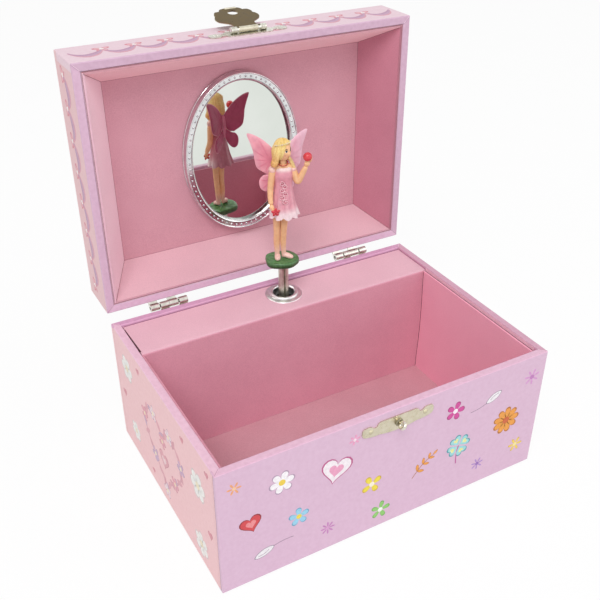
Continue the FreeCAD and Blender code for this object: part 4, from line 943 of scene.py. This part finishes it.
skin.append((on_head(turns(72)[None] - np.pi, np.linspace(0, np.pi, 56)[:, None]), SKIN))
doll_skin = tinted("painted_skin", 0.42, 600.0, "f1ebe8")
coat(doll_skin, {"Subsurface Weight": 0.08, "Subsurface Radius": (0.0012, 0.0006, 0.0004)})
piece("figure_skin", "figure", posed(skin), doll_skin, stands_for="figure_body")

# Face of the figure: painted eyes, brows, lips and a blush, each a thin oval film of glossy paint
# that follows the head.


def film(turn, polar, wide, high, lift, tint, lean=0.0):
    """A film of paint: an oval in turn and polar angle on the head, and its middle, lifted and sunk."""
    outline = placed(DISC * (wide, high), (turn, polar), lean)
    middle = np.broadcast_to(outline.mean(0), outline.shape)
    rows = ((middle, lift), (outline, lift), (outline, -0.06), (middle, -0.06))
    return np.stack([on_head(spots[:, 0], spots[:, 1], up) for spots, up in rows]), chip(tint)


features = []
for side in (-1, 1):
    features += [film(side * 0.42, 1.50, 0.18, 0.10, 0.03, "f6efe9", -6 * side),
                 film(side * 0.42 + 0.02, 1.505, 0.11, 0.10, 0.05, "34465c"),
                 film(side * 0.42 + 0.02, 1.505, 0.055, 0.055, 0.065, "1d1a1c"),
                 film(side * 0.43, 1.41, 0.23, 0.046, 0.07, "2c2220", -10 * side),
                 film(side * 0.45, 1.255, 0.22, 0.036, 0.03, "6a4a2c", -9 * side),
                 film(side * 0.62, 1.86, 0.16, 0.10, 0.012, "f2b195")]
features += [film(0.0, 2.085, 0.16, 0.042, 0.04, "c8474e"), film(0.0, 2.15, 0.12, 0.04, 0.045, "dd747a")]
face_paint = tinted("face_paint", 0.35, 900.0, "f0f0f0")
piece("figure_face", "figure", posed(features), face_paint)

# Hair of the figure: moulded long and painted blonde, parted at the crown, falling behind the
# shoulders and forward over the right one, held by a band of small pale flowers. The locks darken
# towards their tips as painted shade.
HAIR, HAIR_DEEP = chip("fdeaa2"), chip("f1ca80")
SHADED_LOCK_TIPS = [chip(code) for code in ("e8ac68", "e3a35e", "ecb674")]
LOCK_ROOTS = [HAIR, chip("f6da8e"), chip("f9e096")]
round_head = turns(132) - np.pi
side_share = np.clip(np.where(round_head > 0, (round_head - 1.0) / 0.6, (-round_head - 0.3) / 0.95), 0, 1)
hairline = 0.92 + 1.55 * side_share ** 2 * (3 - 2 * side_share)
down = np.append(np.linspace(0, 1, 26), [1.0, 0.96, 0.8])[:, None]
lifted = np.append(np.full(24, 0.5), [0.42, 0.22, -0.1, -0.5, -0.8])[:, None]
strands = 0.11 * np.sin(34 * round_head) + 0.07 * np.sin(71 * round_head + 1.3)
cap = on_head(round_head, down * hairline, lifted + strands * np.clip(3 * down, 0, 1) * (lifted > 0.45))
hair = [(cap, mixed(HAIR, HAIR_DEEP, np.clip(0.4 + 3.5 * strands, 0, 1)[None, :, None]))]
for k, turn in enumerate(np.linspace(1.75, 2 * np.pi - 1.35, 25)):
    fore = np.clip((turn - 2 * np.pi + 2.6) / 1.2, 0, 1)
    behind = np.sin(np.clip((turn - 1.75) / 2.6, 0, 1) * np.pi)
    way = np.array([np.sin(turn + HEAD_TURN), -np.cos(turn + HEAD_TURN), 0.0])
    root, swell = on_head(turn, 0.8, 0.1), on_head(turn, 1.6, 0.3 + 0.12 * (k % 2))
    neck = HEAD + way * (3.5 - 0.1 * fore) + (-0.8 * fore, 0.3, -3.8)
    fall = (-2.0 * fore, 0.5 - 0.2 * fore, -6.4 - 5.0 * behind - 0.5 * (k % 3) * behind)
    tip = HEAD + way * (4.6 - 1.6 * behind - 1.0 * fore) + fall
    path = [root, swell, neck, 0.5 * (neck + tip) + (0.15 * (-1) ** k, 0, 0), tip]
    lock = limb(path, [0.5, 0.8, 0.9, 0.85, 0.4], 0.8, (0.3, 0.2, 0.1), 12, 26)
    # Each lock darkens from root to tip as painted shade.
    hair.append(faded(lock, 48.5, 57.0, SHADED_LOCK_TIPS[k % 3], LOCK_ROOTS[k % 3]))
for shift in (0.0, 0.5):
    path = [(2.2, 0.8 + shift, 53.2), (3.0, 0.5 + shift, 51.0), (4.1 + 0.3 * shift, 0.0, 48.7),
            (4.9 + 0.4 * shift, -0.6, 46.6), (5.2, -0.9, 45.2)]
    stray = limb(path, [0.5, 0.8, 0.8, 0.65, 0.3], 0.8, (0.3, -0.4, 0.1), 12, 26)
    hair.append(faded(stray, 45.0, 53.0, chip("f0cb93"), chip("f4dc93")))
hair_paint = tinted("hair_paint", 0.45, 1400.0, "e6e0d2")
piece("figure_hair", "figure", posed(hair), hair_paint, 60.0)
band = []
for k, turn in enumerate(np.linspace(-1.9, 1.9, 17)):
    bead = on_head(turn, 0.80 + 0.10 * np.abs(turn) ** 1.6, 0.85)
    band.append((ball(bead, 0.36, 7, 9), chip(("f3e3b0", "f0d9c4", "efe0a8")[k % 3])))
piece("figure_hair_band", "figure", posed(band), face_paint)

# Dress of the figure: a moulded bodice off the shoulders and a flared skirt with soft folds and a
# petal hem, painted pink and paling to white at the hem, with raised curls down the front. The fold
# crests carry painted highlights, each curl is a pale painted highlight over a dark line of painted
# shade, and the back is painted a deeper pink as painted shade.
GOWN_X, GOWN_WIDE, GOWN_SLIM = 0.55, 1.03, 0.80
wrap = turns(140)
outer = smooth([(2.7, 47.2), (3.45, 46.6), (3.85, 45.0), (3.95, 43.2), (3.75, 41.0), (3.65, 39.0),
                (3.85, 36.8), (4.4, 33.2), (4.95, 29.8), (5.7, 27.2), (6.35, 25.4)], 50, False)
inner = outer[[-1, -4, -12]] + [(-0.25, 0.1), (-0.8, 0), (-0.8, 0)]
radius, height = np.concatenate([[(0.0, 46.6), (1.5, 46.9)], outer, inner, [(0.0, 33.0)]]).T[..., None]


def flare_at(high):
    """How far the skirt has flared at a height: nought at the waist and one at the hem."""
    return np.clip((38.5 - high) / 13.0, 0, 1)


flare = flare_at(height)
pleats = np.cos(9 * wrap + 0.4)
across = radius * (1 + flare ** 1.2 * (0.075 * pleats + 0.03 * np.cos(17 * wrap + 1.0)))
bust = sum(np.exp(-((wrap - 1.5 * np.pi + side * 0.55) / 0.38) ** 2) for side in (-1, 1))
bust = 0.5 * np.exp(-((height - 43.6) / 1.5) ** 2) * bust * (radius > 1.0)
petals = -1.0 * np.abs(np.cos(4.5 * wrap + 0.2)) ** 0.7 * flare ** 6
gown = np.stack([GOWN_X + across * np.cos(wrap) * GOWN_WIDE,
                 (across * (GOWN_SLIM + 0.1 * flare) + bust) * np.sin(wrap), height + petals], -1)
# The fold crests are painted paler: painted highlight.
painted_fold_highlight = 0.6 * np.sqrt(flare) * np.clip(0.5 + 0.6 * pleats, 0, 1)
gown_tint = mixed(chip("e79fad"), chip("f1bfc8"), painted_fold_highlight[..., None])
gown_tint = mixed(gown_tint, chip("f7dfe2"), np.clip((29.5 - gown[..., 2:]) / 2.6, 0, 1) ** 1.2)
gown_tint = mixed(gown_tint, chip("f8e2de"), np.clip((gown[..., 2:] - 45.2) / 1.4, 0, 1))
# The back of the dress is painted a deeper pink: painted shade.
gown_tint = mixed(gown_tint, chip("c27a8d"), np.clip(1.6 * np.sin(wrap) - 0.15, 0, 1)[None, :, None])
dress_shapes = [(gown, gown_tint)]
for path in ([(-2.9, 0.1, 46.9), (-4.0, 0.1, 46.2), (-4.5, 0.15, 44.5)],
             [(3.7, 0.1, 46.5), (4.6, 0.1, 45.6), (5.1, 0.0, 44.2)]):
    sleeve = limb(path, [1.5, 1.75, 1.72], steps=20)
    dress_shapes.append(faded(sleeve, 43.5, 47.0, chip("eeb3ac"), chip("f5cfc2")))


def on_gown(turn, high, lift):
    """A place on the front of the dress by its turn from the front and its height."""
    reach = np.interp(high, outer[::-1, 1], outer[::-1, 0]) + lift
    slim = GOWN_SLIM + 0.1 * flare_at(high)
    return np.stack([GOWN_X + reach * np.sin(turn) * GOWN_WIDE, -reach * np.cos(turn) * slim, high], -1)


u = np.linspace(0, 1, 15)
swirl, grow = 2.6 * np.pi * u, 0.25 + 0.75 * u
for turn, high, way in ((-0.34, 40.6, 1), (0.02, 39.2, -1), (-0.36, 37.5, 1), (0.04, 36.0, -1),
                        (-0.34, 34.2, 1), (0.02, 32.4, -1)):
    # Each curl: a wider dark line of painted shade under a pale line of painted highlight.
    for half, lift, tint in ((0.40, 0.02, "c9687c"), (0.24, 0.26, "f6c9d0")):
        curl = on_gown(turn + way * 0.33 * grow * np.cos(swirl), high + 1.15 * grow * np.sin(swirl), lift)
        dress_shapes.append((limb(curl, np.full(15, half), sides=7, steps=36), chip(tint)))
for turn in (-0.75, 0.38):
    seam = on_gown(turn + 0.1 * np.sin(5 * u), 38.0 - 9.0 * u, 0.05)
    dress_shapes.append((limb(seam, np.full(15, 0.16), sides=7, steps=24), chip("e6a6b8")))
dress_paint = tinted("dress_paint", 0.40, 700.0, "ece6ea")
piece("figure_dress", "figure", posed(dress_shapes), dress_paint, 50.0)

# Trims of the figure: a coral necklace, the red ball in the raised hand and the red flower in the
# other, moulded with the body and painted.
trims = []
for a in turns(30):
    seat = (0.3 + 2.1 * np.sin(a), 0.0 - 2.1 * np.cos(a), 48.9 - 0.7 * np.cos(a))
    trims.append((ball(seat, 0.26, 5, 7), chip("d2564b")))
trims.append((ball((10.55, -2.2, 51.4), 1.9, 22, 32), chip("e0434b")))
BLOOM = np.array([-4.0, -4.6, 28.4])
for k in range(5):
    a = np.radians(72 * k + 18)
    reach = np.array([np.cos(a), 0.0, np.sin(a)])
    path = [BLOOM, BLOOM + 1.1 * reach + (0, -0.1, 0), BLOOM + 2.05 * reach + (0, 0.1, 0)]
    trims.append((limb(path, [0.4, 0.72, 0.3], 0.5, sides=12, steps=14), chip("dc4450")))
trims.append((ball(BLOOM + (0, -0.3, 0), (0.55, 0.4, 0.55), 8, 12), chip("cf3a4a")))
trim_paint = tinted("trim_paint", 0.25, 800.0, "e8e4e4")
piece("figure_trims", "figure", posed(trims), trim_paint)

# Wings of the figure: two moulded pink wings of two lobes each, thin at the edge with raised veins,
# joined at a root between the shoulder blades.
UPPER = [[(0.2, 50.4), (3.1, 53.9), (6.6, 56.9), (10.1, 58.8), (12.9, 59.5), (13.4, 58.6), (12.2, 55.4),
          (11.0, 51.6), (10.4, 47.4), (9.2, 43.9), (4.9, 41.4)],
         [(4.9, 41.4), (2.0, 42.4), (0.4, 45.6), (0.2, 50.4)]]
LOWER = [[(0.3, 44.0), (2.4, 42.6), (4.9, 41.3), (6.9, 40.7), (8.4, 39.0), (8.75, 36.8), (8.1, 34.5),
          (6.4, 33.4), (4.4, 33.8), (2.2, 35.7), (0.3, 38.6)],
         [(0.3, 38.6), (0.1, 41.3), (0.3, 44.0)]]
# The wings' backs are tinted a deeper pink as painted shade.
LEAN, WING_BACK_SHADE, WING_ROOT = np.radians(20.0), chip("bf5078"), chip("e386a4")


def wing_lobe(runs, hub, side, deep, light, set_back, beat, wide=1.0):
    """A lobe of a wing: rays from its hub to its edge, swelling to the hub and thin at the edge, with veins
    along some rays. Its back is painted a deeper pink as painted shade."""
    edge = np.concatenate([smooth(run, 16 * len(run), False)[:-1] for run in runs]) * (wide, 1.0)
    spread = np.append(np.linspace(0, 1, 16), np.linspace(1, 0, 16)[1:])[:, None]
    facing = np.repeat((-1.0, 1.0), (16, 15))[:, None]
    bearing = np.arctan2(edge[:, 1] - hub[1], edge[:, 0] - hub[0])
    thick = 0.36 * (1 - spread ** 8) + 0.05 * (spread < 1)
    vein = np.clip(np.cos(beat * bearing + 0.5), 0, 1) ** 4 * (0.2 * spread * (1 - spread ** 3))
    out, up = np.moveaxis(hub + spread[..., None] * (edge - hub), -1, 0)
    swell = (thick + vein) * facing + set_back
    wing = np.stack([side * (0.4 + out * np.cos(LEAN) - swell * np.sin(LEAN)),
                     4.6 + out * np.sin(LEAN) + swell * np.cos(LEAN), up], -1)
    tint = mixed(chip(deep), chip(light), np.clip(spread ** 1.6 - 6 * vein, 0, 1)[..., None])
    return wing, np.where(facing[..., None] > 0, WING_BACK_SHADE, tint)


wings = []
for side, deep, light, wide in ((-1, "ea8fa3", "f9b9c4", 1.0), (1, "edb4c8", "f4c9d8", 0.8)):
    wings.append(wing_lobe(UPPER, np.array([3.6, 48.2]), side, deep, light, -0.1, 11))
    wings.append(wing_lobe(LOWER, np.array([2.9, 38.9]), side, deep, light, 0.15, 9, wide))
wings.append((limb([(0, 4.4, 39.2), (0, 4.5, 45.0), (0, 4.4, 50.4)], [0.9, 1.3, 0.9]), WING_ROOT))
wings.append((limb([(0, 2.4, 45.0), (0, 4.6, 45.0)], [1.6, 1.2], front=UPWARD), WING_ROOT))
wing_plastic = tinted("wing_plastic", 0.32, 300.0, "eadfe5")
coat(wing_plastic, {"Subsurface Weight": 0.15, "Subsurface Radius": (0.001, 0.0006, 0.0006)})
piece("figure_wing_pair", "figure", posed(wings), wing_plastic, 60.0, "figure_wings")

# Floor of pale matt card under the box, seen nearly white with the box's soft shadow on it.
# It is one square sheet, far wider than the picture.
floor_mesh = bpy.data.meshes.new("floor")
floor_mesh.from_pydata([(-4, -4, 0), (4, -4, 0), (4, 4, 0), (-4, 4, 0)], [], [(0, 1, 2, 3)])
floor_card = grained("floor_card", 0.9, 30.0, "f7f7f7", "fafafa")
coat(floor_card, {"Specular IOR Level": 0.0})


def seen_ray(tree):
    """One where a ray comes from the camera, a mirror or a clear piece, and nought elsewhere."""
    ray = wire(tree, "LightPath", {})
    clear = {0: ray["Is Glossy Ray"], 1: ray["Is Transmission Ray"]}
    bright = wire(tree, "Math", clear, operation="MAXIMUM")["Value"]
    return wire(tree, "Math", {0: ray["Is Camera Ray"], 1: bright}, operation="MAXIMUM")["Value"]


card = floor_card.node_tree
share_white = wire(card, "Math", {0: seen_ray(card), 1: 0.9}, operation="MULTIPLY")["Value"]
white_card = wire(card, "Emission", {"Strength": 1.0})["Emission"]
matt = card.nodes["Principled BSDF"].outputs["BSDF"]
card_mix = wire(card, "MixShader", {"Fac": share_white, 1: matt, 2: white_card})["Shader"]
set_inputs(card, card.nodes["Material Output"], {"Surface": card_mix})
floor_mesh.materials.append(floor_card)
floor = bpy.data.objects.new("floor", floor_mesh)
bpy.context.scene.collection.objects.link(floor)

# Light: a large soft lamp above the front left, a weaker one from the right, and an even white
# surround that the camera and the bright metal see as plain white.
WHITE = (1.0, 1.0, 1.0, 1.0)


def lamp(name, at, power, size):
    """A square soft lamp that looks at the middle of the box."""
    data = bpy.data.lights.new(name, "AREA")
    data.energy = power
    data.size = size
    made = bpy.data.objects.new(name, data)
    made.location = at
    made.rotation_euler = (Vector((0.0, 0.0, 0.07)) - made.location).to_track_quat("-Z", "Y").to_euler()
    bpy.context.scene.collection.objects.link(made)


lamp("soft_key", (-0.7, -0.9, 1.6), 20.0, 1.0)
lamp("soft_fill", (1.3, -1.0, 0.8), 5.0, 1.2)
world = bpy.data.worlds.new("studio")
bpy.context.scene.world = world
world.use_nodes = True
sky = world.node_tree
plain = sky.nodes["Background"]
set_inputs(sky, plain, {"Color": WHITE, "Strength": 0.55})
white = wire(sky, "Background", {"Color": WHITE, "Strength": 1.0})["Background"]
choice = wire(sky, "MixShader", {"Fac": seen_ray(sky), 1: plain.outputs["Background"], 2: white})["Shader"]
set_inputs(sky, sky.nodes["World Output"], {"Surface": choice})

# Camera: to the left of the box's front and above it, looking down on the open lid. Its place, lens and
# shift were fitted to the corners of the box.
eye = bpy.data.cameras.new("camera")
eye.sensor_width = 36.0
eye.lens = 51.16
eye.shift_x = -0.0240
eye.shift_y = 0.0248
camera = bpy.data.objects.new("camera", eye)
camera.matrix_world = Matrix((
    (0.866511, 0.265661, -0.422590, -0.154684), (-0.499074, 0.476590, -0.723732, -0.255528),
    (0.009135, 0.838026, 0.545555, 0.266427), (0.0, 0.0, 0.0, 1.0)))
bpy.context.scene.collection.objects.link(camera)
bpy.context.scene.camera = camera
bpy.context.scene.view_settings.view_transform = "Standard"
